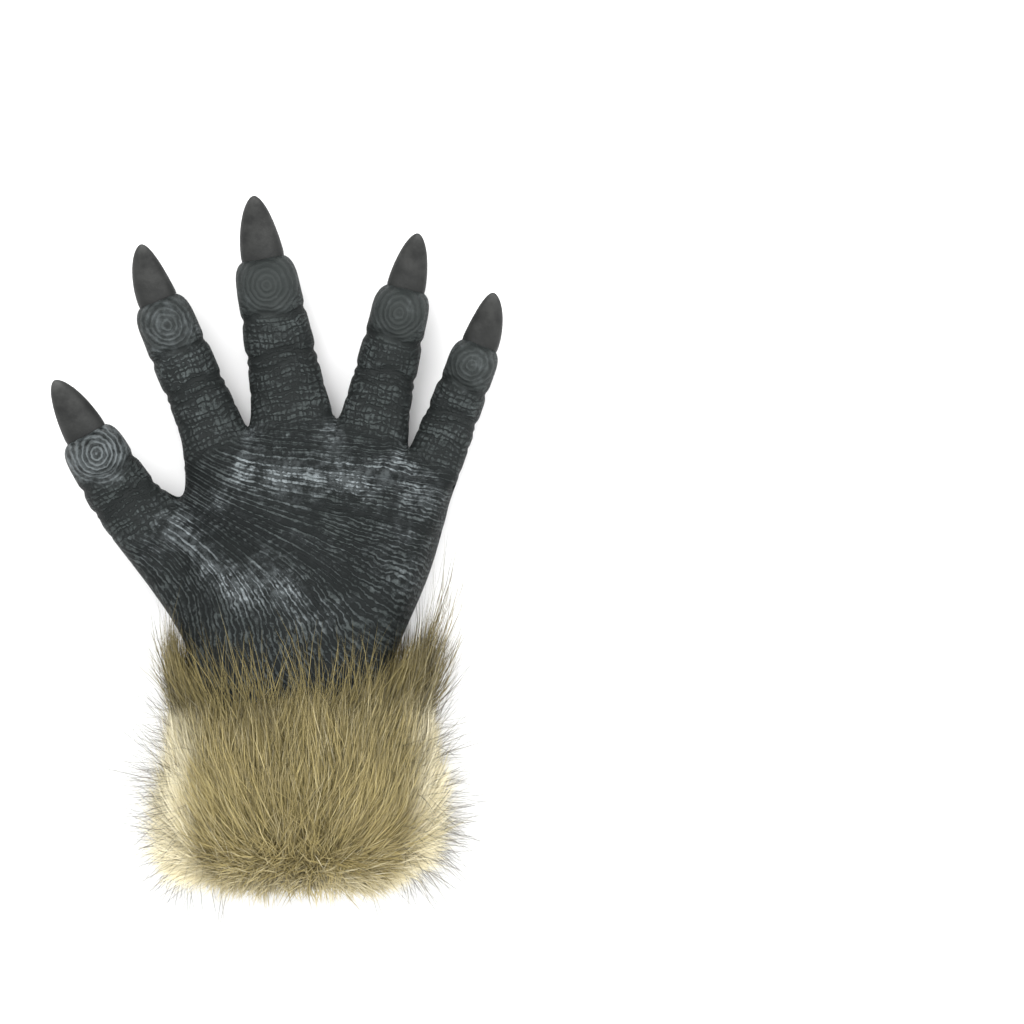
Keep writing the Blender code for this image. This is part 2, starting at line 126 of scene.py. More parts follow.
COLUMNS = 2 * len(FINGERS) + 1  # points across the palm's face
CAGE_FIT = 0.945  # a smoothed oval's size as a share of its cage's
CORNER = 0.76  # how far an oval's corners stand out; 0.71 is round
PALM_EDGE = 0.52  # least thickness at the palm's edges, as a share
WRIST_EDGE = 0.72
SKIN_LEVEL = 4  # how often the skin's cage is subdivided
WALL_LEVEL = 2

# The lines of the palm's skin, as contours of one height field: its height, counted in ridges, and
# points on the contour in millimetres.
PALM_CONTOURS = [
    (-2, [(-53.6, 58.8), (-46, 66)]),
    (4, [(-66.2, 92.4), (-58.8, 78.8), (-50.4, 69.3), (-44.1, 60.9), (-42, 53.6), (-44.1, 47.3)]),
    (7.5, [(-58.8, 107.1), (-55.7, 94.5), (-50.4, 81.9), (-42, 72.5), (-35.7, 63), (-35.7, 53.6),
           (-39.9, 45.2)]),
    (10.5, [(-50.4, 105), (-48.3, 94.5), (-42, 84), (-32.6, 75.6), (-28.4, 67.2), (-28.4, 56.7),
            (-31.5, 46.2), (-35.7, 38.9)]),
    (14, [(-46.2, 107.1), (-42, 98.7), (-33.6, 88.2), (-25.2, 79.8), (-21, 71.4), (-20, 62),
          (-20, 51.5), (-22.1, 41)]),
    (20, [(-43.6, 107.6), (-35.7, 98.7), (-25.2, 89.3), (-14.7, 79.8), (-8.4, 71.4), (-5.3, 60.9),
          (-4.2, 50.4), (-4.2, 39.9)]),
    (27, [(-42, 108.2), (-27.3, 98.7), (-16.8, 90.3), (-6.3, 81.9), (4.2, 73.5), (10.5, 64.1),
          (13.7, 53.6), (17.9, 42)]),
    (32, [(-37.8, 108.2), (-18.9, 94.5), (-6.3, 86.1), (6.3, 76.7), (20, 68.3), (34.7, 59.9),
          (44.1, 53.6)]),
    (38, [(-33.6, 107.1), (-22.1, 100.8), (-9.5, 95.6), (4.2, 89.3), (20, 83), (35.7, 75.6),
          (51.5, 71.4)]),
    (45, [(-31.5, 108.2), (-16.8, 106.1), (4.2, 100.8), (25.2, 94.5), (46.2, 88.2), (57.8, 86.1)]),
    (52, [(-31.5, 110.3), (-16.8, 112.4), (-1.1, 112.4), (14.7, 109.2), (35.7, 104), (60.9, 99.8)]),
    (58, [(-42, 111.3), (-27.3, 118.7), (-11.6, 122.9), (4.2, 122.9), (20, 118.7), (41, 116.6),
          (63, 114.5)]),
    (66, [(-46.2, 125), (-35.7, 127.1), (-25.2, 130.2), (-6.3, 134.4), (9.5, 132.3), (25.2, 127.1),
          (46.2, 122.9), (67.2, 121.8)]),
    # a whorl on the heel of the hand
    (33.2, [(24, 55)]),
    (31.4, [(24, 47), (31, 50)]),
    (30, [(27, 40), (38, 45)]),
]
# Folds that fan out of the web between thumb and palm: height of the contour that each one
# follows, its depth, its reach from the web in millimetres
FOLDS = [(18, 0.7, 56), (21, 0.8, 66), (24, 0.9, 54), (27.2, 1.3, 96), (30.4, 0.7, 56),
         (33.4, 1, 78), (37, 0.8, 62), (41, 0.8, 88), (46, 0.7, 66), (14, 0.6, 50)]
FOLD_START = (-44, 110)
# Where the grey paint is dragged on most, with a painted sheen in the same spots: x and y in millimetres,
# reach and strength
RUBBED_AND_SHEEN = np.array([
    (-24, 122, 7.2, 0.62), (-8, 119, 10.4, 0.48), (7, 120, 7.8, 0.36), (18, 121, 7.8, 0.62),
    (26, 116, 6.5, 0.50), (35, 121, 7.2, 0.46), (45, 118, 6.5, 0.40), (53, 112, 7.8, 0.30),
    (-57, 103, 7.8, 0.48), (-49, 98, 6.5, 0.50), (-42, 89, 6.5, 0.50), (-36, 81, 6.5, 0.50),
    (-28, 75, 6.5, 0.62), (-20, 66, 7.8, 0.34), (-14, 79, 7.8, 0.40), (-5, 72, 7.8, 0.40),
    (1, 60, 6.5, 0.32), (-10, 92, 13, 0.08), (14, 60, 7.8, 0.22), (40, 95, 18.2, 0.14),
    (46, 76, 15.6, 0.14), (-62, 92, 10.4, 0.16), (-21, 138, 5.2, 0.40), (14, 138, 5.2, 0.45),
    (43, 128, 5.2, 0.40), (-35, 108, 7.8, 0.35),
])
# Where the skin's lines are crossed by a second set: x and y in millimetres, reach and strength
CROSSED = np.array([(-8, 123, 13, 1), (22, 117, 14, 0.7), (-30, 118, 9, 0.5),
                    (44, 108, 14, 0.5), (34, 74, 14, 0.55), (-58, 98, 9, 0.4)])
# How much grey paint, with painted sheen, each digit's pad takes
PAD_RUB_AND_SHEEN = {"index": 0.22, "middle": 0.00, "ring": 0.04, "little": 0.10, "thumb": 0.54}
RIDGE_PITCH = 0.0020  # from one pad ring to the next
CREASE_PITCH = 0.0023  # from one finger crease to the next
CROSS_PITCH = 0.0022  # from one crossing line to the next
PLATE_UNIT = 50  # millimetres that count as one where the contours' surface is worked out
NO_RING = 40.0  # a ring number that lies beyond every pad
# Creases across a digit: share of its length, depth and width
JOINT_CREASES = ((0.02, 0.8, 1.5), (0.37, 0.7, 1.2), (0.44, 1.0, 1.7), (0.67, 0.9, 1.8), (0.22, 0.4, 1.0))
CREASE_DEPTH = 0.00095
SWELL_HEIGHT = 0.00022
PAD_HEIGHT = 0.0006
RING_HEIGHT = 0.00007


# ---- Shapes -------------------------------------------------------------------------------------

def placed(name, data):
    """A new object in the scene, at the origin, that shows the data."""
    thing = bpy.data.objects.new(name, data)
    bpy.context.scene.collection.objects.link(thing)
    return thing


def new_piece(name, points, faces, material):
    """A smooth mesh piece at the origin, from points (n, 3) and lists of corner numbers."""
    mesh = bpy.data.meshes.new(name)
    mesh.from_pydata(points.tolist(), [], faces)
    mesh.update()
    mesh.polygons.foreach_set("use_smooth", np.ones(len(mesh.polygons), bool))
    mesh.materials.append(material)
    return placed(name, mesh)


def face_outward(piece):
    """Turns every face of a closed piece to look out of it."""
    bm = bmesh.new()
    bm.from_mesh(piece.data)
    bmesh.ops.recalc_face_normals(bm, faces=bm.faces)
    bm.to_mesh(piece.data)
    bm.free()


def store(piece, name, values):
    """One number for each vertex, kept as an attribute that a material reads."""
    layer = piece.data.attributes.new(name, "FLOAT", "POINT")
    layer.data.foreach_set("value", np.asarray(values, np.float32).ravel())


def read_vertices(piece, key):
    """The coordinates or normals of a piece's vertices, as an array (n, 3)."""
    values = np.empty(3 * len(piece.data.vertices), np.float32)
    piece.data.vertices.foreach_get(key, values)
    return values.reshape(-1, 3).astype(float)


def subdivided(piece, level):
    """The piece with a Catmull-Clark surface of that level drawn through its cage."""
    modifier = piece.modifiers.new("smooth", "SUBSURF")
    modifier.levels = modifier.render_levels = level
    modifier.boundary_smooth = "ALL"
    fine = bpy.data.meshes.new_from_object(piece.evaluated_get(bpy.context.evaluated_depsgraph_get()))
    piece.modifiers.clear()
    piece.data = fine
    fine.polygons.foreach_set("use_smooth", np.ones(len(fine.polygons), bool))
    return piece


def ring_quads(first, second):
    """Quads between two closed rings of as many vertex numbers."""
    return np.stack([first, np.roll(first, -1), np.roll(second, -1), second], axis=1).tolist()


def grid_quads(rows, columns, close_rows=False):
    """Quads of a grid of rows by columns whose columns close round."""
    number = np.arange(rows * columns).reshape(rows, columns)
    below = np.roll(number, -1, axis=0)
    if not close_rows:
        number, below = number[:-1], below[:-1]
    corners = [number, below, np.roll(below, -1, axis=1), np.roll(number, -1, axis=1)]
    return np.stack(corners, axis=-1).reshape(-1, 4)


def unit(vectors):
    """Vectors divided by their own lengths."""
    return vectors / np.linalg.norm(vectors, axis=-1, keepdims=True)


def directions(heading, pitch):
    """Forward, sideways and up for headings in degrees from +Y towards the thumb, pitched up."""
    turn, rise = np.radians(heading), np.radians(pitch)
    forward = np.stack([-np.sin(turn) * np.cos(rise), np.cos(turn) * np.cos(rise), np.sin(rise)], axis=-1)
    sideways = np.stack([np.cos(turn), np.sin(turn), np.zeros_like(turn)], axis=-1)
    return forward, sideways, np.cross(sideways, forward)


def walk(start, heading, pitch, steps):
    """Points reached from start by steps whose headings and pitches are those half way along each."""
    return start + np.cumsum(directions(heading, pitch)[0] * steps[:, None], axis=0)


def digit_root(digit):
    """Where a digit starts: its shares of the palm's width and length, at the knuckles' height."""
    y = WRIST_Y + digit.root_y * PALM_LENGTH
    return np.array([digit.root_x * PALM_WIDTH, y, KNUCKLE_HEIGHT + digit.rise])


def digit_axis(digit, shares):
    """Middle points and directions of a digit whose heading and pitch grow evenly along it."""
    middles = (shares + np.concatenate([[0.0], shares[:-1]])) / 2
    steps = np.diff(shares, prepend=0.0) * digit.length * FINGER_LENGTH
    points = walk(digit_root(digit), digit.heading + digit.turn * middles, FINGER_CURL * middles, steps)
    return points, directions(digit.heading + digit.turn * shares, FINGER_CURL * shares)


def digit_rings(digit, inset, setback):
    """Rings of eight corners along a digit: an oval whose palm side stands out at its pad.

    The thumb goes without the first ring, because it grows out of the palm's side.
    """
    length = digit.length * FINGER_LENGTH
    rings = DIGIT_RINGS[1:] if digit is THUMB else DIGIT_RINGS
    rings = rings[rings[:, 0] * length < length - setback - inset]
    along, swell, width, depth, pad = rings.T
    shares = along * (1.0 - setback / length)
    points, (_, sideways, up) = digit_axis(digit, shares)
    size = digit.width * FINGER_WIDTH
    half = (size * width * (1 + (digit.swell - 1) * swell) / 2 - inset) / CAGE_FIT
    low = (size * depth / 2 - inset) / CAGE_FIT
    high = low + PAD_BULGE * pad
    eighths = np.array([3, 2, 1, 0, -1, -2, -3, 4])
    full = np.where(eighths % 2 == 0, 1.0, CORNER / math.cos(math.pi / 4))
    across = half[:, None] * np.cos(eighths * math.pi / 4) * full
    rise = np.where(eighths % 4 > 0, np.where(eighths > 0, high[:, None], low[:, None]), 0.0)
    rise = rise * np.sin(eighths * math.pi / 4) * full
    corners = points[:, None] + sideways[:, None] * across[..., None] + up[:, None] * rise[..., None]
    end, (forward, _, _) = digit_axis(digit, np.append(shares, min(1.0, shares[-1] + 0.02)))
    return corners, end[-1] - forward[-1] * inset


def mound_height(section, share):
    """Bell curves across the palm: the ball and the heel stand out, the hollow sinks in."""
    parts = ((section.ball, BALL), (section.heel, HEEL), (-section.hollow, HOLLOW))
    return PALM_THICKNESS * sum(h * np.exp(-((share - m.across) / m.spread) ** 2) for h, m in parts)


def palm_ring(y, x, z, half_width, half_thickness, section=None):
    """One section of the palm: a rounded slab, palm face, outer edge, back face and thumb edge."""
    share = np.arange(COLUMNS) / (COLUMNS - 1)
    across = x + half_width * np.sin((share - 0.5) * math.pi * 0.86) / math.sin(0.43 * math.pi) * 0.95
    edge = PALM_EDGE if section else WRIST_EDGE
    rise = half_thickness * np.maximum(edge, (1 - np.abs(2 * share - 1) ** 2.6) ** 0.42)
    mounds = mound_height(section, share) if section else 0.0
    level = np.full(COLUMNS, y)
    palm = np.stack([across, level, z + rise + mounds], axis=1)
    back = np.stack([across, level, z - rise], axis=1)[::-1]
    return np.vstack([palm, [(x + half_width * 1.03, y, z)], back, [(x - half_width * 1.03, y, z)]])


def palm_rings(inset):
    """The sleeve's two rings and a ring for each palm section, all moved in by inset."""
    wrist = (WRIST_OFFSET, KNUCKLE_HEIGHT + WRIST_LIFT, WRIST_WIDTH / 2 - inset, WRIST_THICKNESS / 2 - inset)
    rings = [palm_ring(y, *wrist) for y in (SLEEVE_END, WRIST_Y - 0.0052)]
    for s in PALM_SECTIONS:
        rings.append(palm_ring(
            WRIST_Y + s.along * PALM_LENGTH, s.offset * PALM_WIDTH, KNUCKLE_HEIGHT + s.lift * WRIST_LIFT,
            s.width * PALM_WIDTH / 2 - inset, s.thickness * PALM_THICKNESS / 2 - inset, s))
    return rings


def root_ring(inset):
    """The palm's last section, whose columns are in turn the webs and the middles between them."""
    column = np.arange(COLUMNS)
    web, middle = column[::2] // 2, column[1::2] // 2
    place = np.empty((COLUMNS, 2))
    place[::2] = WEBS[web] * (PALM_WIDTH, PALM_LENGTH) + (0, WRIST_Y)
    place[1::2] = (place[0:-1:2] + place[2::2]) / 2
    half = np.empty(COLUMNS)
    half[::2] = WEB_THICKNESS / 2
    half[[0, -1]] = FINGERS[-1].width * FINGER_WIDTH * 0.34
    half[1::2] = [FINGERS[m].width * FINGER_WIDTH * 0.53 for m in middle]
    half = np.maximum(half - inset, 0.2 * half)
    place[::2, 1] -= inset
    place[0, 0] += inset
    place[-1, 0] -= inset
    z = np.full(COLUMNS, KNUCKLE_HEIGHT)
    palm = np.column_stack([place, z + half])
    back = np.column_stack([place, z - half])
    return palm, np.column_stack([place, z])[::2], back


def hand_cage(inset=0.0, setback=0.0, rim=None):
    """Points and faces of the hand's cage: palm rings, a curved root ring and five digits.

    Everything is moved in by inset, and rim is an extra first ring that turns the sleeve's edge.
    """
    points, faces, count = [], [], 0

    def add(block):
        """Keeps a block of points and gives their numbers."""
        nonlocal count
        block = np.asarray(block).reshape(-1, 3)
        points.append(block)
        count += len(block)
        return np.arange(count - len(block), count)

    rings = [add(r) for r in ([] if rim is None else [rim]) + palm_rings(inset)]
    for first, second in zip(rings, rings[1:]):
        faces += ring_quads(first, second)
    palm, middles, back = (add(block) for block in root_ring(inset))
    faces += ring_quads(rings[-1], np.concatenate([palm, middles[-1:], back[::-1], middles[:1]]))

    def digit(kind, loop):
        """Carries a digit's rings on from an open loop of the palm and closes its tip."""
        corners, tip = digit_rings(kind, inset, setback)
        last = loop
        for ring in corners:
            ring = add(ring)
            faces.extend(ring_quads(last, ring))
            last = ring
        tip = add(tip)[0]
        faces.extend([last[i], last[i + 1], last[(i + 2) % 8], tip] for i in range(0, 8, 2))

    for n, finger in enumerate(FINGERS):
        a, b, c = 2 * n, 2 * n + 1, 2 * n + 2
        loop = [palm[a], palm[b], palm[c], middles[n + 1], back[c], back[b], back[a], middles[n]]
        digit(finger, np.array(loop))
    low, mid, high = rings[-3:]
    opened, first, last = mid[-1], 0, COLUMNS * 2
    faces = [f for f in faces if opened not in f]
    loop = [low[first], mid[first], high[first], high[-1], high[last], mid[last], low[last], low[-1]]
    digit(THUMB, np.array(loop))
    return np.vstack(points), faces


def hand_piece(name, material, level, inset=0.0, setback=0.0, rim=None, inward=False):
    """The hand's cage without loose points, faced outward or inward and subdivided."""
    points, faces = hand_cage(inset, setback, rim)
    piece = new_piece(name, points, faces, material)
    bm = bmesh.new()
    bm.from_mesh(piece.data)
    bmesh.ops.delete(bm, geom=[v for v in bm.verts if not v.link_faces], context="VERTS")
    bmesh.ops.recalc_face_normals(bm, faces=bm.faces)
    highest = max(bm.faces, key=lambda f: f.calc_center_median().z)
    if (highest.normal.z < 0) != inward:
        bmesh.ops.reverse_faces(bm, faces=bm.faces)
    bm.to_mesh(piece.data)
    bm.free()
    return subdivided(piece, level)


def thin_plate(places, heights, at):
    """A smooth surface through heights at places: a sum of r squared log r bumps and a plane."""
    def bumps(a, b):
        """r squared log r for every pair of points."""
        square = ((a[:, None] - b[None]) ** 2).sum(-1)
        return 0.5 * square * np.log(square + 1e-9)

    plane = np.column_stack([np.ones(len(places)), places])
    system = np.block([
        [bumps(places, places) + 2.0 * np.eye(len(places)), plane],
        [plane.T, np.zeros((3, 3))],
    ])
    weights = np.linalg.solve(system, np.concatenate([heights, np.zeros(3)]))
    return bumps(at, places) @ weights[:-3] + np.column_stack([np.ones(len(at)), at]) @ weights[-3:]


def smooth_step(low, high, value):
    """From 0 at low to 1 at high: t squared times three less two t."""
    t = np.clip((value - low) / (high - low), 0, 1)
    return t * t * (3 - 2 * t)


def spots(flat, table):
    """Sum of bell-shaped spots, each with its x, y, reach and strength."""
    x, y, reach, strength = table.T
    return (strength * np.exp(-((flat[:, :1] - x) ** 2 + (flat[:, 1:] - y) ** 2) / reach ** 2)).sum(1)


def lay_skin_lines(skin):
    """Keeps on each vertex of the skin where it lies among the palm's lines, a digit's creases and
    a pad's rings, and presses the palm's folds and the joints' creases into it."""
    points, normals = read_vertices(skin, "co"), read_vertices(skin, "normal")
    flat = points[:, :2] * 1000
    places = np.array([p for _, line in PALM_CONTOURS for p in line])
    heights = np.array([h for h, line in PALM_CONTOURS for _ in line])
    flow, crowd = np.zeros((2, len(points)))
    for part in np.array_split(np.arange(len(points)), 8):
        flow[part], beside, beyond = (
            thin_plate(places / PLATE_UNIT, heights, (flat[part] + step) / PLATE_UNIT)
            for step in ((0, 0), (0.5, 0), (0, 0.5)))
        crowd[part] = 2 * np.hypot(beside - flow[part], beyond - flow[part])
    rings = np.full(len(points), NO_RING)
    creases = points[:, 1] / CREASE_PITCH
    cross = points[:, 0] / CROSS_PITCH
    on_digit, pad, sink, pad_rub_and_sheen, dome = np.zeros((5, len(points)))
    for digit in DIGITS:
        ends, (_, sideways, up) = digit_axis(digit, np.array([0.0, 0.5, 1.0]))
        length = digit.length * FINGER_LENGTH
        size = digit.width * FINGER_WIDTH
        forward = unit(ends[2] - ends[0])
        away = points - ends[0]
        along = away @ forward
        across = away @ sideways[1]
        above = away @ unit(np.cross(sideways[1], forward))
        near = np.abs(across) < 0.5 * size * (1.05 + (digit.swell - 1) * (1 - along / length))
        start = 0.10 if digit is THUMB else 0.0
        begun = smooth_step(start * length - 0.004, start * length + 0.007, along)
        mine = begun * near * (along < length * 1.1)
        on_digit = np.maximum(on_digit, mine)
        curve = (across / size) ** 2
        bow = 0.006 * np.sign(0.45 - along / length) * np.where(above > 0, 1, -1)
        creases = np.where(mine > 0, (along + bow * curve) / CREASE_PITCH, creases)
        cross = np.where(mine > 0, across / CROSS_PITCH + 0.25, cross)
        palmar = smooth_step(-0.002, 0.001, above)
        spread = np.hypot(across, 0.90 * (along - 0.845 * length))
        over = mine * palmar
        rings = np.where(over > 0, np.minimum(rings, spread / RIDGE_PITCH), rings)
        on_pad = over * (1 - smooth_step(0.34 * size, 0.62 * size, spread))
        pad = np.maximum(pad, on_pad)
        pad_rub_and_sheen = np.maximum(pad_rub_and_sheen, on_pad * PAD_RUB_AND_SHEEN[digit.name])
        dome = np.maximum(dome, over * np.clip(1 - (spread / (0.56 * size)) ** 2, 0, 1))
        for share, deep, wide in JOINT_CREASES:
            line = along - share * length + 0.0012 * np.sin(across / 0.0034 + 9 * share) + 0.004 * curve
            sink = sink + mine * deep * np.exp(-((line / (0.001 * wide)) ** 2))
    palm = (1 - on_digit) * (normals[:, 2] > 0)
    from_web = np.hypot(flat[:, 0] - FOLD_START[0], flat[:, 1] - FOLD_START[1])
    for height, deep, reach in FOLDS:
        wander = 0.35 * np.sin(from_web / 7.0 + height)
        near = smooth_step(reach, 0.55 * reach, from_web) * smooth_step(1, 8, from_web)
        wide = 0.55 + 0.55 * np.clip(1 - from_web / 60, 0, 1)
        sink = sink + palm * near * deep * np.exp(-(((flow - height + wander) / wide) ** 2))
    sink = sink + palm * 0.8 * np.exp(-((flow - 50.0) / 0.6) ** 2) * smooth_step(-30, -10, flat[:, 0])
    sink = sink + palm * 0.9 * np.exp(-((flow - 61.5) / 0.7) ** 2)
    x, y = flat.T
    swells = np.sin(x / 4.1 + 1.7 * np.sin(y / 6.3)) * np.sin(y / 4.7 + 1.3 * np.sin(x / 5.2))
    moved = points - normals * (CREASE_DEPTH * np.minimum(sink, 1.5))[:, None]
    moved += normals * (SWELL_HEIGHT * swells * (1 - pad) * (normals[:, 2] > 0))[:, None]
    moved += normals * (PAD_HEIGHT * dome)[:, None]
    moved += normals * (RING_HEIGHT * pad * np.cos(2 * math.pi * rings))[:, None]
    skin.data.vertices.foreach_set("co", moved.ravel())
    skin.data.update()
    facing = smooth_step(-0.1, 0.5, normals[:, 2])
    for name, values in {
        "flow": flow, "flow_wide": 0.40 * flow, "flow_narrow": 1.55 * flow,
        "sparse": 1 - smooth_step(0.24, 0.36, crowd), "crowded": smooth_step(0.50, 0.95, crowd),
        "creases": creases, "cross": cross, "rings": rings, "digit": on_digit, "pad": pad,
        "crossed": np.clip(spots(flat, CROSSED) * facing + on_digit, 0, 1),
        # grey paint dragged on, with a painted sheen, from the spots above and the pads
        "rubbed_and_sheen": np.clip(spots(flat, RUBBED_AND_SHEEN) * facing * (1 - 0.6 * on_digit) + pad_rub_and_sheen, 0, 1),
        "sunk": np.clip(sink, 0, 1),
    }.items():
        store(skin, name, values)


def claw_piece(digit, material, rows=44, sides=36):
    """A claw: ovals along a hooked line.  Their size is one less the share of the way to the power
    1.5, all to the power 0.58, which ends in a round tip."""
    base, (forward, _, up) = digit_axis(digit, np.array([1.0]))
    base = base[0] - up[0] * CLAW_DROP
    length = digit.claw * CLAW_LENGTH
    share = np.sin(np.linspace(0, math.pi / 2, rows)) ** 0.9
    size = np.clip(1 - share ** 1.5, 0, 1) ** 0.58
    size[-1] = 0.004
    middles = (share + np.concatenate([[0.0], share[:-1]])) / 2
    heading = digit.heading + digit.turn
    line = walk(base, heading + digit.claw_turn * middles, FINGER_CURL + CLAW_CURL * middles,
                np.diff(share, prepend=0.0) * length)
    _, sideways, upward = directions(heading + digit.claw_turn * share, FINGER_CURL + CLAW_CURL * share)
    root = base - forward[0] * CLAW_ROOT_DEPTH
    line = np.vstack([root, line])
    sideways = np.vstack([sideways[:1], sideways])
    upward = np.vstack([upward[:1], upward])
    size = np.concatenate([[0.94], size])
    share = np.concatenate([[0.0], share])
    angle = -2 * math.pi * np.arange(sides) / sides
    across = np.cos(angle) * digit.claw * CLAW_WIDTH / 2
    rise = np.sin(angle) * digit.claw * CLAW_THICKNESS / 2 * np.where(np.sin(angle) > 0, 0.85, 1.0)
    points = line[:, None] + size[:, None, None] * (
        sideways[:, None] * across[:, None] + upward[:, None] * rise[:, None])
    faces = grid_quads(len(line), sides)[:, ::-1].tolist()
    faces.append(list(range(sides))[::-1])
    faces.append([(len(line) - 1) * sides + i for i in range(sides)])
    piece = new_piece(f"claw_{digit.name}_horn", points.reshape(-1, 3), faces, material)
    face_outward(piece)
    store(piece, "tip", np.repeat(share, sides))
    return piece


def oval(angle, half_width, half_thickness, shift):
    """A rounded oval section of the cuff: cosine and sine drawn out to the power 0.86."""
    c, s = np.cos(angle), np.sin(angle)
    x = WRIST_OFFSET + shift + half_width * np.sign(c) * np.abs(c) ** 0.86
    return x, CUFF_LIFT + half_thickness * np.sign(s) * np.abs(s) ** 0.86


FUR_ALONG = np.array([0.00, 0.12, 0.28, 0.46, 0.64, 0.81, 0.94, 1.00])
FUR_FULL = np.array([0.15, 0.62, 0.90, 1.05, 1.08, 0.95, 0.55, 0.18])
BED_SHARE = 0.42  # depth of the bed that the hairs grow out of, as a share of the dense fur
BED_FLOOR = 0.0009  # how low the bed may lie
END_BOW = 0.10  # how much shorter the cuff is at its two sides, as a share of its length


def cuff_y(angle, along):
    """Place along the glove: the cuff's open end bows out between its two sides."""
    return CUFF_TOP_Y - along * CUFF_LENGTH * (1 - END_BOW * np.abs(np.cos(angle)) ** 3 * along)


def fur_bed_point(angle, along):
    """A point of the bed: the oval grown by a share of the fur's depth, kept above the floor."""
    depth = BED_SHARE * FUR_DEPTH * np.interp(along, FUR_ALONG, FUR_FULL)
    shift = CUFF_SHIFT * np.interp(along, FUR_ALONG, FUR_FULL)
    half_width = CUFF_WIDTH / 2 + BACKING_WALL + depth
    half_thickness = CUFF_THICKNESS / 2 + BACKING_WALL + depth
    x, z = oval(angle, half_width, half_thickness, shift)
    out = [np.cos(angle) / half_width, np.zeros_like(angle), np.sin(angle) / half_thickness]
    place = np.stack([x, cuff_y(angle, along), np.maximum(z, BED_FLOOR)], axis=-1)
    return place, unit(np.stack(out, axis=-1))


def cuff_body(bed, cloth, sides=112):
    """The bed and its cloth backing: one profile, out along the bed and back through the bore,
    carried round the cuff's oval."""
    angle = 2 * math.pi * np.arange(sides) / sides
    along = np.linspace(0, 1, 40)
    outer = [fur_bed_point(angle, np.full(sides, a))[0] for a in along]
    bore = []
    inner_end = (CUFF_TOP_Y - SLEEVE_END) / CUFF_LENGTH
    wide = (CUFF_WIDTH / 2, CUFF_THICKNESS / 2)
    narrow = (WRIST_WIDTH / 2 + 0.0004, WRIST_THICKNESS / 2 - 0.0002)
    for share, half in ((1.0, wide), (0.90, wide), (inner_end + 0.085, wide), (inner_end + 0.009, wide),
                        (inner_end + 0.006, narrow), (0.0, narrow)):
        x, z = oval(angle, *half, 0.0)
        bore.append(np.stack([x, cuff_y(angle, share), z], axis=-1))
    rows = np.array(outer + bore)
    faces = grid_quads(len(rows), sides, close_rows=True).tolist()
    piece = new_piece("cuff_body", rows.reshape(-1, 3), faces, bed)
    face_outward(piece)
    piece.data.materials.append(cloth)
    row = np.repeat(np.arange(len(rows)), sides)
    piece.data.polygons.foreach_set("material_index", (row >= len(outer) - 1).astype(np.int32))
    piece.data.update()
    return piece


Coat = namedtuple("Coat", "name seed hairs clumps length width lift spread scatter gather tone pale")
# Layers of hair: hairs and clumps are counts, length and width are in metres, lift is how many
# degrees a hair stands steeper than it is combed and spread how unevenly, scatter is how far its
# root lies from its clump's in metres, and gather how much tips meet.
# tone sets a coat's tan, and pale how strongly its hairs take the cream glow painted at the cuff's edges
COATS = [
    Coat("fur_undercoat", 11, 24000, 3000, 0.0150, 0.00070, 12, 14, 0.0042, 0.22, 0.30, 1.00),
    Coat("fur_lower_coat", 12, 26000, 1100, 0.0250, 0.00052, 3, 8, 0.0052, 0.66, 0.40, 0.95),
    Coat("fur_middle_coat", 13, 26000, 760, 0.0285, 0.00046, 0, 7, 0.0060, 0.72, 0.50, 0.95),
    Coat("fur_upper_coat", 14, 25000, 420, 0.0310, 0.00041, 1, 7, 0.0068, 0.78, 0.62, 0.90),
]
# How hairs are combed, against their share of the cuff's length from its finger end: degrees from
# straight out towards the fingers, and length as a share of their coat's
COMB_ALONG = np.array([0.00, 0.10, 0.22, 0.40, 0.56, 0.68, 0.78, 0.86, 0.92, 0.97, 1.00])
COMB_LEAN = np.array([84, 82, 79, 75, 70, 62, 50, 28, -8, -46, -66])
COMB_LENGTH = np.array([0.50, 0.62, 0.82, 1.00, 1.00, 0.94, 0.84, 0.72, 0.58, 0.46, 0.38])
PARTING = 0.89  # where hairs turn from one end of the cuff to the other
CUFF_RADIUS = 0.045  # turns a distance round the cuff into an angle
ROOT_DEPTH = 0.001
HAIR_FLOOR = 0.0004  # how low a hair may lie
LOOSE_LENGTH = 0.0370  # of the veil's hairs and the wisps
# How far hairs may reach, as the box's lowest and highest corner
HAIR_BOX = np.array([(-0.1180, -0.0915, -1.0), (0.0990, 0.5, 0.0875)])


def share_inside(root, reach):
    """The share of each hair's reach that stays in HAIR_BOX: the least share of the way to a side."""
    low, high = HAIR_BOX
    back = (low - root) / np.minimum(reach, -1e-9)
    ahead = (high - root) / np.maximum(reach, 1e-9)
    return np.clip(np.where(reach < 0, back, ahead).min(axis=1), 0, 1)


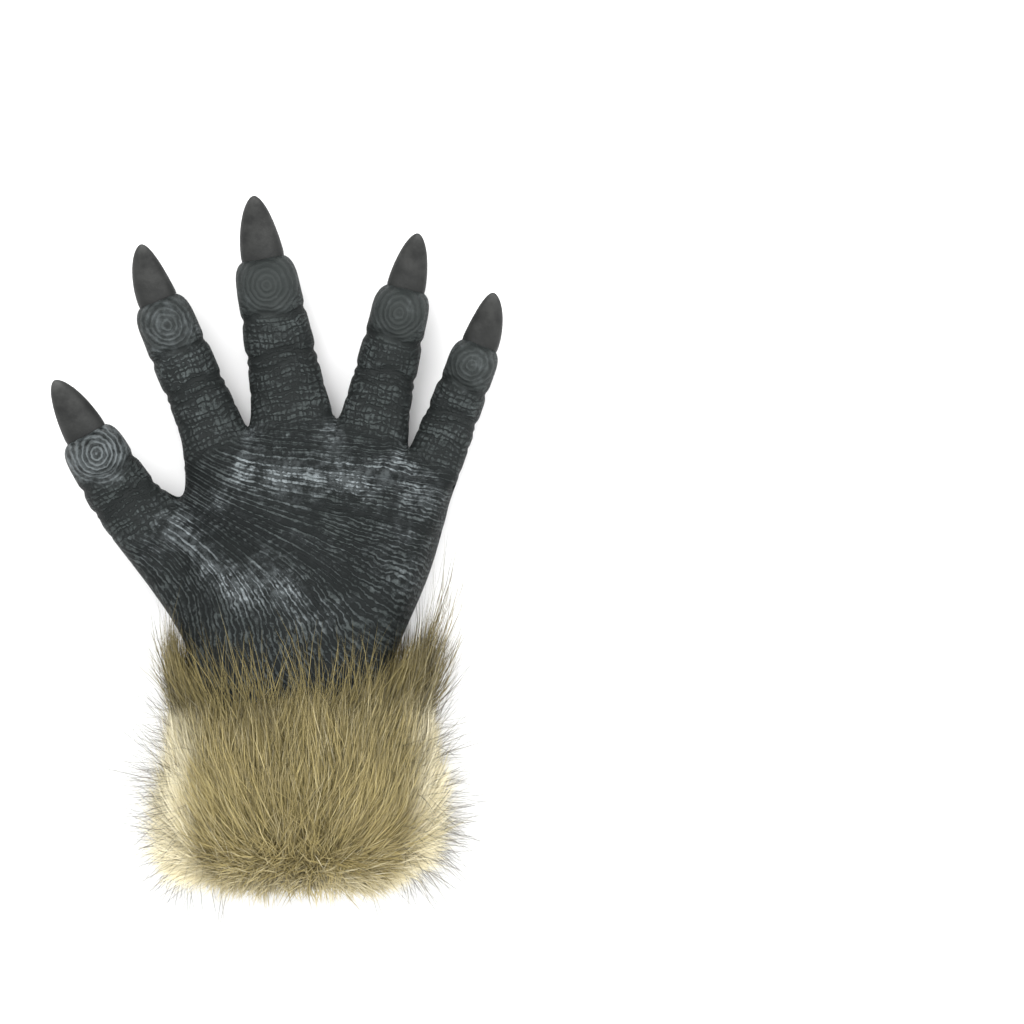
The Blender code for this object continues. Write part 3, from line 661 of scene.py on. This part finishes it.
def hair_mesh(name, root, way, bend, side, length, width, material, attributes):
    """Hairs as flat tapered ribbons: root + way s L + bend s squared L, in three spans to a tip."""
    count = len(root)
    length = length * share_inside(root, (way + bend) * length[:, None])
    share = np.array([0.0, 0.36, 0.70])
    taper = np.array([1.0, 0.92, 0.60])
    curve = way[:, None] * share[:, None] + bend[:, None] * share[:, None] ** 2
    line = root[:, None] + curve * length[:, None, None]
    half = side[:, None] * (taper[:, None] * width[:, None, None] / 2)
    tip = root + (way + bend) * length[:, None]
    points = np.empty((count, 7, 3))
    points[:, 0:6:2] = line - half
    points[:, 1:6:2] = line + half
    points[:, 6] = tip
    points[..., 2] = np.maximum(points[..., 2], HAIR_FLOOR)
    number = 7 * np.arange(count)[:, None]
    quads = np.concatenate([number + np.array([0, 1, 3, 2]), number + np.array([2, 3, 5, 4])])
    tips = number + np.array([4, 5, 6])
    mesh = bpy.data.meshes.new(name)
    mesh.vertices.add(7 * count)
    mesh.vertices.foreach_set("co", points.ravel())
    corners = np.concatenate([quads.ravel(), tips.ravel()]).astype(np.int32)
    starts = np.concatenate([4 * np.arange(2 * count), 8 * count + 3 * np.arange(count)]).astype(np.int32)
    mesh.loops.add(len(corners))
    mesh.loops.foreach_set("vertex_index", corners)
    mesh.polygons.add(len(starts))
    mesh.polygons.foreach_set("loop_start", starts)
    mesh.update(calc_edges=True)
    mesh.polygons.foreach_set("use_smooth", np.ones(len(starts), bool))
    mesh.materials.append(material)
    piece = placed(name, mesh)
    store(piece, "grown", np.tile([0.0, 0.0, 0.36, 0.36, 0.70, 0.70, 1.0], count))
    for key, values in attributes.items():
        store(piece, key, np.repeat(values, 7))
    return piece


def swirl(angle, along):
    """How the fur's direction wanders: two crossed waves over the cuff."""
    return 0.16 * np.sin(5 * angle + 9 * along + 0.6) + 0.12 * np.sin(11 * angle - 13 * along + 2.0)


def leaned(out, lean):
    """Directions leaned from out towards the fingers: out by the cosine and +Y by the sine."""
    return out * np.cos(lean)[:, None] + np.array([0.0, 1.0, 0.0]) * np.sin(lean)[:, None]


def comb(angle, along, out, chance, lift, spread):
    """Which way hairs grow: outward leaned along the glove, fanned out from the cuff's middle."""
    side = np.abs(np.cos(angle))
    lean = np.interp(along, COMB_ALONG, COMB_LEAN)
    near_hand = 1 - smooth_step(0.12, 0.34, along)
    splay = np.where(np.cos(angle) > 0, -11, -3) * near_hand
    splay = splay + (9 + 6 * smooth_step(0.45, 0.7, along)) * (1 - near_hand)
    lean = lean + splay * side ** 3 * (lean > 0)
    lean = lean * (1 - 0.75 * side ** 4 * (lean < 0))
    unruly = 1 + 1.4 * np.exp(-(((along - PARTING) / 0.07) ** 2))
    lean = lean - lift * np.sign(lean) + spread * unruly * chance.normal(size=len(angle))
    lean = np.radians(lean)
    fan = 0.40 * np.cos(angle) * np.abs(np.sin(angle)) ** 0.5 + swirl(angle, along)
    fan = fan + 0.14 * chance.normal(size=len(angle))
    round_way = np.stack([-np.sin(angle), np.zeros_like(angle), np.cos(angle)], axis=-1)
    round_way = -round_way * np.sign(np.sin(angle) + 1e-9)[:, None]
    return unit(leaned(out, lean) + round_way * fan[:, None])


def reach_of(angle, along):
    """How long hairs are: COMB_LENGTH along the cuff, with tufts at its two sides near the hand."""
    side = np.abs(np.cos(angle)) ** 7 * (1 - smooth_step(0.04, 0.30, along))
    tuft = np.where(np.cos(angle) > 0, 1.60, 1.10)
    length = np.interp(along, COMB_ALONG, COMB_LENGTH)
    front = (1 - smooth_step(0.05, 0.42, along)) * (np.sin(angle) > 0)
    length = length * (1 - front * np.clip(0.60 - 0.45 * np.cos(angle), 0, 0.93))
    return length * (1 - side) + tuft * side


def coat_piece(coat, material):
    """One layer of fur: clumps strewn over the cuff, hairs strewn round each clump's root, and
    their tips drawn towards the clump's own tip."""
    chance = np.random.default_rng(coat.seed)
    angle = chance.uniform(0, 2 * math.pi, coat.clumps)
    along = chance.uniform(0.0, 1.0, coat.clumps)
    place, out = fur_bed_point(angle, along)
    way = comb(angle, along, out, chance, coat.lift, 0.6 * coat.spread)
    size = coat.length * reach_of(angle, along) * chance.uniform(0.68, 1.22, coat.clumps)
    size = size * np.where(along < 0.16, chance.uniform(0.55, 1.6, coat.clumps), 1.0)
    shade = 0.26 * chance.normal(size=coat.clumps)
    mine = chance.integers(0, coat.clumps, coat.hairs)
    turned = angle[mine] + chance.normal(size=coat.hairs) * coat.scatter / CUFF_RADIUS
    moved = np.clip(along[mine] + chance.normal(size=coat.hairs) * coat.scatter / CUFF_LENGTH, -0.01, 1.01)
    root, root_out = fur_bed_point(turned, moved)
    own = comb(turned, moved, root_out, chance, coat.lift, coat.spread)
    length = size[mine] * chance.uniform(0.70, 1.14, coat.hairs)
    goal = place[mine] + way[mine] * size[mine][:, None]
    tip = root + own * length[:, None]
    tip += (goal - tip) * (coat.gather * chance.uniform(0.4, 1.0, coat.hairs))[:, None]
    straight = (tip - root) / length[:, None]
    first = unit(straight * 0.78 + root_out * 0.24 + 0.07 * chance.normal(size=(coat.hairs, 3)))
    first *= np.linalg.norm(straight, axis=1, keepdims=True)
    bend = straight - first + 0.05 * chance.normal(size=(coat.hairs, 3))
    roll = chance.normal(size=coat.hairs) * 0.6
    flat = unit(np.cross(first, root_out))
    side = unit(flat * np.cos(roll)[:, None] + root_out * np.sin(roll)[:, None])
    # painted light: a cream glow on the hairs at the cuff's open end and its two sides, from the bright
    # light round its edges
    edge = np.abs(np.cos(turned))
    rim = smooth_step(0.90, 1.0, moved) * (0.30 + 0.60 * edge)
    from_side = edge + 0.10 * (np.cos(turned) < 0)
    rim += smooth_step(0.70, 1.00, from_side) * smooth_step(0.08, 0.60, moved)
    rim *= chance.uniform(0.60, 1.20, coat.hairs)
    by_hand = (1 - smooth_step(0.0, 0.72, moved)) * chance.uniform(0.4, 1.0, coat.hairs)
    tone = np.clip(coat.tone - 0.20 * by_hand + shade[mine] + 0.16 * chance.normal(size=coat.hairs), 0, 1)
    pale = np.clip(coat.pale * rim + 0.10 * chance.normal(size=coat.hairs), 0, 1)
    dark = chance.uniform(size=coat.hairs) ** (0.45 + 2.0 * smooth_step(0.05, 0.50, moved))
    dark = dark * (1 - 0.85 * np.clip(rim, 0, 1))
    # painted light: hairs lighter where the fur parts, filling in the shade of the gap
    parted = np.exp(-(((moved - PARTING) / 0.09) ** 2))
    tone = np.clip(tone + 0.20 * parted, 0, 1)
    return hair_mesh(coat.name, root - root_out * ROOT_DEPTH, first, bend, side, length,
                     coat.width * chance.uniform(0.6, 1.15, coat.hairs), material,
                     {"tone": tone, "pale": pale, "dark": dark, "parted": parted, "by_hand": by_hand})


def veil_piece(material, hairs=1000, seed=23):
    """Long thin hairs that lie loosely over the latex, past the fur's end near the hand."""
    chance = np.random.default_rng(seed)
    angle = chance.uniform(-0.35, math.pi + 0.35, hairs)
    along = 0.16 * chance.beta(1.0, 1.8, hairs)
    root, out = fur_bed_point(angle, along)
    lean = np.radians(chance.uniform(74, 92, hairs))
    aside = np.zeros((hairs, 3))
    aside[:, 0] = np.cos(angle) * 0.35 + 0.16 * chance.normal(size=hairs)
    way = unit(leaned(out, lean) + aside)
    length = LOOSE_LENGTH * chance.uniform(0.30, 1.15, hairs)
    bend = 0.16 * chance.normal(size=(hairs, 3)) * np.array([1.0, 0.4, 0.4])
    side = unit(np.cross(way, out + 0.3 * chance.normal(size=(hairs, 3))))
    width = 0.00023 * chance.uniform(0.6, 1.3, hairs)
    looks = {"tone": chance.uniform(0.0, 0.6, hairs), "pale": np.zeros(hairs), "parted": np.zeros(hairs),
             "dark": chance.uniform(0.0, 1.0, hairs), "by_hand": chance.uniform(0.0, 0.8, hairs)}
    return hair_mesh("fur_veil", root, way, bend, side, length, width, material, looks)


def wisps_piece(material, hairs=2600, seed=17):
    """Long dark guard hairs that stand out past the fur, most of them in bunches at its sides."""
    chance = np.random.default_rng(seed)
    bunches = 640
    middle = np.where(chance.uniform(size=bunches) < 0.75,
                      chance.choice([0.0, math.pi], bunches) + 0.45 * chance.normal(size=bunches),
                      chance.uniform(0, 2 * math.pi, bunches))
    place = chance.beta(1.1, 0.9, bunches)
    tilt = 20 * chance.normal(size=bunches)
    mine = chance.integers(0, bunches, hairs)
    angle = middle[mine] + 0.09 * chance.normal(size=hairs)
    along = np.clip(place[mine] + 0.035 * chance.normal(size=hairs), 0, 1)
    root, out = fur_bed_point(angle, along)
    lean = np.interp(along, [0, 0.2, 0.5, 0.75, 1.0], [56, 46, 20, -10, -50]) + tilt[mine]
    lean = np.radians(lean + 5 * chance.normal(size=hairs))
    way = unit(leaned(out, lean) + 0.10 * chance.normal(size=(hairs, 3)))
    length = LOOSE_LENGTH * chance.uniform(0.5, 1.15, bunches)[mine] * chance.uniform(0.6, 1.1, hairs)
    length = length * (1 - 0.62 * np.clip(np.sin(angle), 0, 1))
    bend = 0.24 * chance.normal(size=(bunches, 3))[mine] + 0.16 * chance.normal(size=(hairs, 3))
    bend = bend * np.array([1.0, 1.0, 0.5])
    side = unit(np.cross(way, chance.normal(size=(hairs, 3))))
    width = 0.00021 * chance.uniform(0.6, 1.3, hairs)
    return hair_mesh("fur_wisps", root, way, bend, side, length, width, material, {})


# ---- Materials ----------------------------------------------------------------------------------

def new_material(name, roughness, specular, sheen=0.0):
    """A material with its node tree and its shader, whose plain numbers are set on its sockets."""
    material = bpy.data.materials.new(name)
    material.use_nodes = True
    shader = material.node_tree.nodes["Principled BSDF"]
    shader.inputs["Roughness"].default_value = roughness
    shader.inputs["Specular IOR Level"].default_value = specular
    shader.inputs["Sheen Weight"].default_value = sheen
    return material, material.node_tree, shader


def put(tree, kind, inputs=(), **settings):
    """A node with its settings, and its inputs given by name or number as values or as links."""
    node = tree.nodes.new(kind)
    for key, value in settings.items():
        setattr(node, key, value)
    for key, value in dict(inputs).items():
        if isinstance(value, bpy.types.NodeSocket):
            tree.links.new(value, node.inputs[key])
        else:
            node.inputs[key].default_value = value
    return node


def math_of(tree, operation, *values):
    """The result of one math node."""
    return put(tree, "ShaderNodeMath", enumerate(values), operation=operation).outputs[0]


def times(tree, first, second):
    """The product of two values."""
    return math_of(tree, "MULTIPLY", first, second)


def times_plus(tree, first, second, third):
    """The product of two values plus a third."""
    return math_of(tree, "MULTIPLY_ADD", first, second, third)


def blend_number(tree, share, low, high):
    """A number that goes evenly from low to high with the share."""
    return put(tree, "ShaderNodeMix", {0: share, 2: low, 3: high}, data_type="FLOAT").outputs[0]


def blend_colour(tree, share, low, high):
    """A colour that goes evenly from low to high with the share."""
    low = low if isinstance(low, bpy.types.NodeSocket) else (*low, 1.0)
    high = high if isinstance(high, bpy.types.NodeSocket) else (*high, 1.0)
    return put(tree, "ShaderNodeMix", {0: share, 6: low, 7: high}, data_type="RGBA").outputs[2]


def step_between(tree, value, low, high):
    """A smooth step from 0 at low to 1 at high."""
    inputs = {"Value": value, "From Min": low, "From Max": high, "To Min": 0.0, "To Max": 1.0}
    return put(tree, "ShaderNodeMapRange", inputs, interpolation_type="SMOOTHSTEP").outputs[0]


def kept(tree, name):
    """An attribute of the vertices."""
    return put(tree, "ShaderNodeAttribute", attribute_name=name).outputs["Fac"]


def noise(tree, scale, detail=3.0, rough=0.55, stretch=None):
    """Noise in the object's own coordinates, which stretch multiplies first."""
    place = put(tree, "ShaderNodeTexCoord").outputs["Object"]
    if stretch is not None:
        place = put(tree, "ShaderNodeMapping", {"Vector": place, "Scale": stretch}).outputs[0]
    inputs = {"Vector": place, "Scale": scale, "Detail": detail, "Roughness": rough}
    return put(tree, "ShaderNodeTexNoise", inputs).outputs["Fac"]


def dress(tree, shader, colour, bump=None, roughness=None):
    """Links a colour, a bump given by its strength, distance and height, and a roughness."""
    tree.links.new(colour, shader.inputs["Base Color"])
    if roughness is not None:
        tree.links.new(roughness, shader.inputs["Roughness"])
    if bump is not None:
        inputs = dict(zip(("Strength", "Distance", "Height"), bump))
        tree.links.new(put(tree, "ShaderNodeBump", inputs).outputs[0], shader.inputs["Normal"])


def new_group(name, inputs, output):
    """A node group of numbers: its tree, what it is given and the socket for its one result."""
    tree = bpy.data.node_groups.new(name, "ShaderNodeTree")
    for key, value in inputs.items():
        socket = tree.interface.new_socket(key, in_out="INPUT", socket_type="NodeSocketFloat")
        socket.default_value = value
    tree.interface.new_socket(output, in_out="OUTPUT", socket_type="NodeSocketFloat")
    result = put(tree, "NodeGroupOutput").inputs[output]
    return tree, put(tree, "NodeGroupInput").outputs, result


# Settings of the ridges: inputs of their node group, with their values where nothing is linked
RIDGE_INPUTS = {"Phase": 0.0, "Wobble": 0.6, "Fine": 0.5, "Breaks": 0.5, "Depth": 0.0,
                "Slow Noise": 0.5, "Quick Noise": 0.5, "Gap Noise": 0.5, "Slack Noise": 0.5}


def ridge_group():
    """Ridges along the contours of a phase: a cosine of the wobbled phase, cut off at its crests,
    with a second, finer set between them, and broken up along their length.  The furrows between
    them are the wider and darker, the deeper a slow noise and Depth say."""
    tree, given, result = new_group("skin ridges", RIDGE_INPUTS, "Ridge")
    slow, quick, gap, slack = (math_of(tree, "SUBTRACT", given[f"{name} Noise"], 0.5)
                               for name in ("Slow", "Quick", "Gap", "Slack"))
    wobble = math_of(tree, "ADD", times(tree, slow, 4.0), times(tree, quick, 1.5))
    phase = times_plus(tree, wobble, given["Wobble"], given["Phase"])
    main = math_of(tree, "COSINE", times(tree, phase, 2 * math.pi))
    fine = math_of(tree, "COSINE", times_plus(tree, phase, 2 * math.pi * 1.62, 1.3))
    both = times_plus(tree, fine, given["Fine"], main)
    both = times_plus(tree, times(tree, gap, given["Breaks"]), 5.0, both)
    both = math_of(tree, "SUBTRACT", both, times_plus(tree, slack, 3.0, given["Depth"]))
    tree.links.new(step_between(tree, both, -1.35, 0.95), result)
    return tree


def crackle_group():
    """Leathery cells: how far a point is from the edges of a warped Voronoi pattern."""
    tree, given, result = new_group("skin cells", {"Scale": 300.0, "Width": 0.1}, "Cell")
    place = put(tree, "ShaderNodeTexCoord").outputs["Object"]
    warp = put(tree, "ShaderNodeTexNoise", {"Vector": place, "Scale": 260.0, "Detail": 2.0}).outputs["Color"]
    place = put(tree, "ShaderNodeVectorMath", {0: warp, 1: (0.0022, 0.0022, 0.0022), 2: place},
                operation="MULTIPLY_ADD").outputs[0]
    cells = put(tree, "ShaderNodeTexVoronoi", {"Vector": place, "Scale": given["Scale"]},
                feature="DISTANCE_TO_EDGE").outputs["Distance"]
    tree.links.new(step_between(tree, cells, 0.0, given["Width"]), result)
    return tree


def latex_skin_material(ridges, cells):
    """Wrinkled latex: sets of ridges blended by the skin's attributes, dark in their furrows and
    grey on their crests, where paint is dragged on in flecks together with a painted sheen."""
    material, tree, shader = new_material("wrinkled black latex", 0.55, 0.08)
    shared = {"Slow Noise": noise(tree, 95, 3), "Quick Noise": noise(tree, 300, 2),
              "Gap Noise": noise(tree, 420, 3), "Slack Noise": noise(tree, 70, 3, 0.6)}

    def ridge(phase, wobble, fine, breaks, depth):
        """Ridges along an attribute's contours, by the group and the noises that all sets share."""
        own = {"Phase": kept(tree, phase), "Wobble": wobble, "Fine": fine, "Breaks": breaks, "Depth": depth}
        return put(tree, "ShaderNodeGroup", {**shared, **own}, node_tree=ridges).outputs["Ridge"]

    digit, pad, rubbed_and_sheen, sunk, crossed = (
        kept(tree, name) for name in ("digit", "pad", "rubbed_and_sheen", "sunk", "crossed"))
    palm = ridge("flow", 0.55, 0.60, 1.00, times_plus(tree, sunk, 1.8, 0.40))
    narrow = ridge("flow_narrow", 0.60, 0.60, 1.05, times_plus(tree, sunk, 1.8, 0.45))
    palm = blend_number(tree, kept(tree, "sparse"), palm, narrow)
    wide = ridge("flow_wide", 0.16, 0.90, 0.85, times_plus(tree, sunk, 1.2, 0.30))
    palm = blend_number(tree, kept(tree, "crowded"), palm, wide)
    finger = ridge("creases", 0.62, 0.6, 0.95, times_plus(tree, sunk, 1.5, -0.25))
    rings = ridge("rings", 0.40, 0.15, 0.50, 0.45)
    cross = ridge("cross", 0.55, 0.5, 1.00, -0.30)
    small = put(tree, "ShaderNodeGroup", {"Scale": 330.0, "Width": 0.12}, node_tree=cells).outputs["Cell"]
    hatch = step_between(tree, noise(tree, 55, 2), 0.42, 0.62)
    hatched = blend_number(tree, hatch, 1.0, blend_number(tree, 0.45, 1.0, small))
    palm = times(tree, palm, hatched)
    finger = times(tree, finger, blend_number(tree, 0.25, 1.0, small))
    lines = blend_number(tree, digit, palm, finger)
    crossing = blend_number(tree, times(tree, crossed, 0.75), 1.0, cross)
    lines = times(tree, lines, crossing)
    patch_mask = step_between(tree, noise(tree, 150, 3, 0.65), 0.36, 0.58)
    lines = times(tree, lines, blend_number(tree, patch_mask, 0.50, 1.0))
    soft = blend_number(tree, times_plus(tree, rubbed_and_sheen, 0.9, 0.34), 1.0, rings)
    lines = blend_number(tree, pad, lines, soft)
    patches = noise(tree, 34, 3, 0.6)
    flecks = noise(tree, 230, 4, 0.7)
    grain = noise(tree, 900, 2)
    # grey paint dragged over the crests in flecks, with painted sheen highlights in the same places
    uneven = times(tree, rubbed_and_sheen, times_plus(tree, noise(tree, 90, 3), 1.5, 0.15))
    lit = times_plus(tree, uneven, 1.15, times_plus(tree, patches, 0.40, flecks))
    lit = step_between(tree, lit, 0.72, 1.50)
    crest = step_between(tree, lines, 0.12, 1.0)
    crest = times(tree, crest, blend_number(tree, sunk, 1.0, 0.12))
    valley = blend_colour(tree, patches, (0.0056, 0.0068, 0.0068), (0.0105, 0.0126, 0.0126))
    plain = blend_colour(tree, patches, (0.024, 0.0286, 0.0280), (0.062, 0.072, 0.071))
    # this light grey is the paint and the painted sheen highlight together
    painted = blend_colour(tree, lit, plain, (0.225, 0.252, 0.262))
    painted = blend_colour(tree, times(tree, pad, 0.5), painted, (0.022, 0.024, 0.023))
    valley = blend_colour(tree, times(tree, digit, 0.45), valley, (0.0180, 0.0205, 0.0200))
    # paint and painted sheen also lighten the furrows where the flecks are thickest
    smudge_and_sheen = times(tree, lit, step_between(tree, flecks, 0.36, 0.64))
    valley = blend_colour(tree, times(tree, smudge_and_sheen, 0.42), valley, (0.110, 0.124, 0.128))
    colour = blend_colour(tree, crest, valley, painted)
    height = times_plus(tree, grain, 0.10, lines)
    dress(tree, shader, colour, (0.9, 0.00075, height), blend_number(tree, lit, 0.58, 0.42))
    return material


def plain_latex_material():
    """The inside of the glove: unpainted latex with faint flow marks."""
    material, tree, shader = new_material("inner latex", 0.6, 0.3)
    marks = noise(tree, 60, 4, 0.6)
    colour = blend_colour(tree, marks, (0.010, 0.012, 0.012), (0.030, 0.033, 0.033))
    dress(tree, shader, colour, (0.4, 0.0004, noise(tree, 300, 3)))
    return material


def claw_material():
    """Streaked grey horn that is darker at its root, with a painted highlight that makes its tip pale."""
    material, tree, shader = new_material("dark grey claw", 0.5, 0.22)
    tip = kept(tree, "tip")
    streaks = noise(tree, 120, 4, 0.6)
    specks = noise(tree, 700, 2)
    # painted highlight: the tip, with its streaks, turns pale as if light caught it
    patch_mask = step_between(tree, times_plus(tree, streaks, 0.35, tip), 1.02, 1.30)
    dark = step_between(tree, tip, 0.50, 0.0)
    streaked = step_between(tree, streaks, 0.30, 0.72)
    colour = blend_colour(tree, streaked, (0.0125, 0.0131, 0.0128), (0.030, 0.0308, 0.0296))
    colour = blend_colour(tree, times(tree, dark, 0.60), colour, (0.016, 0.017, 0.0165))
    # the pale grey of the painted highlight at the tip
    colour = blend_colour(tree, times(tree, patch_mask, 0.7), colour, (0.072, 0.073, 0.071))
    height = times_plus(tree, specks, 0.35, streaks)
    dress(tree, shader, colour, (0.5, 0.0006, height), blend_number(tree, specks, 0.42, 0.62))
    return material


def fur_material():
    """Hair that is olive and in painted shade at the root, tan along its length and dark at some tips,
    with a cream glow of painted light at the cuff's edges."""
    material, tree, shader = new_material("tan fur", 0.65, 0.18)
    grown, tone, pale, dark, parted = (
        kept(tree, name) for name in ("grown", "tone", "pale", "dark", "parted"))
    by_hand = times(tree, kept(tree, "by_hand"), 0.80)
    body = blend_colour(tree, tone, (0.124, 0.099, 0.036), (0.445, 0.366, 0.162))
    body = blend_colour(tree, by_hand, body, (0.084, 0.068, 0.024))
    # darker roots: their own colour and painted shade under the hairs above, less where the fur parts and
    # roots lie open
    covered = blend_number(tree, parted, 1.0, 0.25)
    deep = times(tree, step_between(tree, grown, 0.60, 0.0), covered)
    root = blend_colour(tree, deep, body, (0.082, 0.068, 0.028))
    # the cream glow of painted light at the cuff's edges
    cream = blend_colour(tree, pale, root, (0.88, 0.82, 0.62))
    darkened = step_between(tree, dark, 0.45, 0.95)
    ends = times(tree, step_between(tree, grown, 0.40, 1.0), darkened)
    colour = blend_colour(tree, times(tree, ends, 0.9), cream, (0.030, 0.028, 0.022))
    dress(tree, shader, colour)
    return material


def wisp_material():
    """Guard hair that is tan at its root and nearly black from its middle on."""
    material, tree, shader = new_material("dark guard hair", 0.5, 0.3)
    grown = step_between(tree, kept(tree, "grown"), 0.25, 0.65)
    dress(tree, shader, blend_colour(tree, grown, (0.30, 0.26, 0.16), (0.035, 0.034, 0.030)))
    return material


def bed_material():
    """Short dense fur under the long hairs: fine strands along the cuff."""
    material, tree, shader = new_material("fur bed", 0.85, 0.15)
    strands = noise(tree, 500, 3, 0.6, stretch=(1.0, 0.12, 1.0))
    colour = blend_colour(tree, strands, (0.075, 0.062, 0.028), (0.24, 0.195, 0.095))
    dress(tree, shader, colour, (0.9, 0.001, strands))
    return material


def backing_material():
    """Knitted cloth that the fur is rooted in: two crossed rows of yarn."""
    material, tree, shader = new_material("fur backing cloth", 0.9, 0.1, sheen=0.2)
    place = put(tree, "ShaderNodeTexCoord").outputs["Object"]
    rows, ribs = (
        put(tree, "ShaderNodeTexWave", {"Vector": place, "Scale": scale, "Distortion": bend, "Detail": 2.0},
            bands_direction=way).outputs["Fac"]
        for way, scale, bend in (("Y", 260.0, 1.2), ("X", 200.0, 1.6)))
    yarn = times(tree, rows, ribs)
    colour = blend_colour(tree, yarn, (0.16, 0.135, 0.085), (0.36, 0.32, 0.22))
    dress(tree, shader, colour, (0.7, 0.0004, yarn))
    return material


# ---- Stage --------------------------------------------------------------------------------------

# The camera looks straight down.  These are the place under the picture's middle and its width.
VIEW_MIDDLE = (0.0890, 0.1042)
VIEW_WIDTH = 0.4301
CAMERA_HEIGHT = 2.4
# The floor ends where it is as white as the studio round it.
FLOOR_MIDDLE = (-0.010, 0.080)
FLOOR_REACH = 0.20
FLOOR_GREY = 0.885
WORLD_STRENGTH = 1.17
SENSOR_WIDTH = 36.0
# Lights: name, place, size and power
LIGHTS = (("key light", (-0.34, 0.38, 1.62), 1.1, 24.0), ("fill light", (0.95, 0.1, 1.2), 1.2, 13.0))
LIT_PLACE = (0, 0.09, 0.02)


def make_stage():
    """A pale floor, an even white world, two soft lights turned to one place, and a camera that
    looks down: its lens is the sensor's width times the distance over the picture's width."""
    scene = bpy.context.scene
    material, _, shader = new_material("pale floor", 1.0, 0.0)
    shader.inputs["Base Color"].default_value = (FLOOR_GREY, FLOOR_GREY, FLOOR_GREY, 1)
    corners = np.array([(-1, -1, 0), (1, -1, 0), (1, 1, 0), (-1, 1, 0)])
    floor = new_piece("floor", (*FLOOR_MIDDLE, 0) + corners * FLOOR_REACH, [(0, 1, 2, 3)], material)
    world = bpy.data.worlds.new("studio")
    world.use_nodes = True
    world.node_tree.nodes["Background"].inputs["Color"].default_value = (1, 1, 1, 1)
    world.node_tree.nodes["Background"].inputs["Strength"].default_value = WORLD_STRENGTH
    scene.world = world
    scene.view_settings.view_transform = "Standard"
    for name, place, size, power in LIGHTS:
        light = bpy.data.lights.new(name, "AREA")
        light.size = size
        light.energy = power
        lamp = placed(name, light)
        lamp.location = place
        lamp.rotation_euler = (Vector(LIT_PLACE) - Vector(place)).to_track_quat("-Z", "Y").to_euler()
    camera = placed("camera", bpy.data.cameras.new("camera"))
    camera.location = (*VIEW_MIDDLE, CAMERA_HEIGHT)
    camera.data.sensor_width = SENSOR_WIDTH
    camera.data.lens = SENSOR_WIDTH * (CAMERA_HEIGHT - KNUCKLE_HEIGHT * 2) / VIEW_WIDTH
    camera.data.clip_end = 20.0
    scene.camera = camera


def main():
    """The glove's pieces, each attached to the root body in place of the model's node that it hides, and the
    stage.
    """
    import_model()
    ridges, cells = ridge_group(), crackle_group()
    skin = hand_piece("latex_skin", latex_skin_material(ridges, cells), SKIN_LEVEL)
    lay_skin_lines(skin)
    rim = palm_rings(0.0)[0]
    inner = hand_piece("latex_inside", plain_latex_material(), WALL_LEVEL, inset=SHELL_WALL,
                       setback=CLAW_ROOT_DEPTH + 0.0025, rim=rim, inward=True)
    for piece in (skin, inner):
        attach(piece, "root")
        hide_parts("latex_hand")
    horn = claw_material()
    for digit in DIGITS:
        claw = claw_piece(digit, horn)
        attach(claw, "root")
        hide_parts(f"claw_{digit.name}")
    fur = fur_material()
    cuff = [cuff_body(bed_material(), backing_material())]
    cuff += [coat_piece(coat, fur) for coat in COATS]
    cuff += [veil_piece(fur), wisps_piece(wisp_material())]
    for piece in cuff:
        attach(piece, "root")
        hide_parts("fur_cuff")
    make_stage()
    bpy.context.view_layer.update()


main()
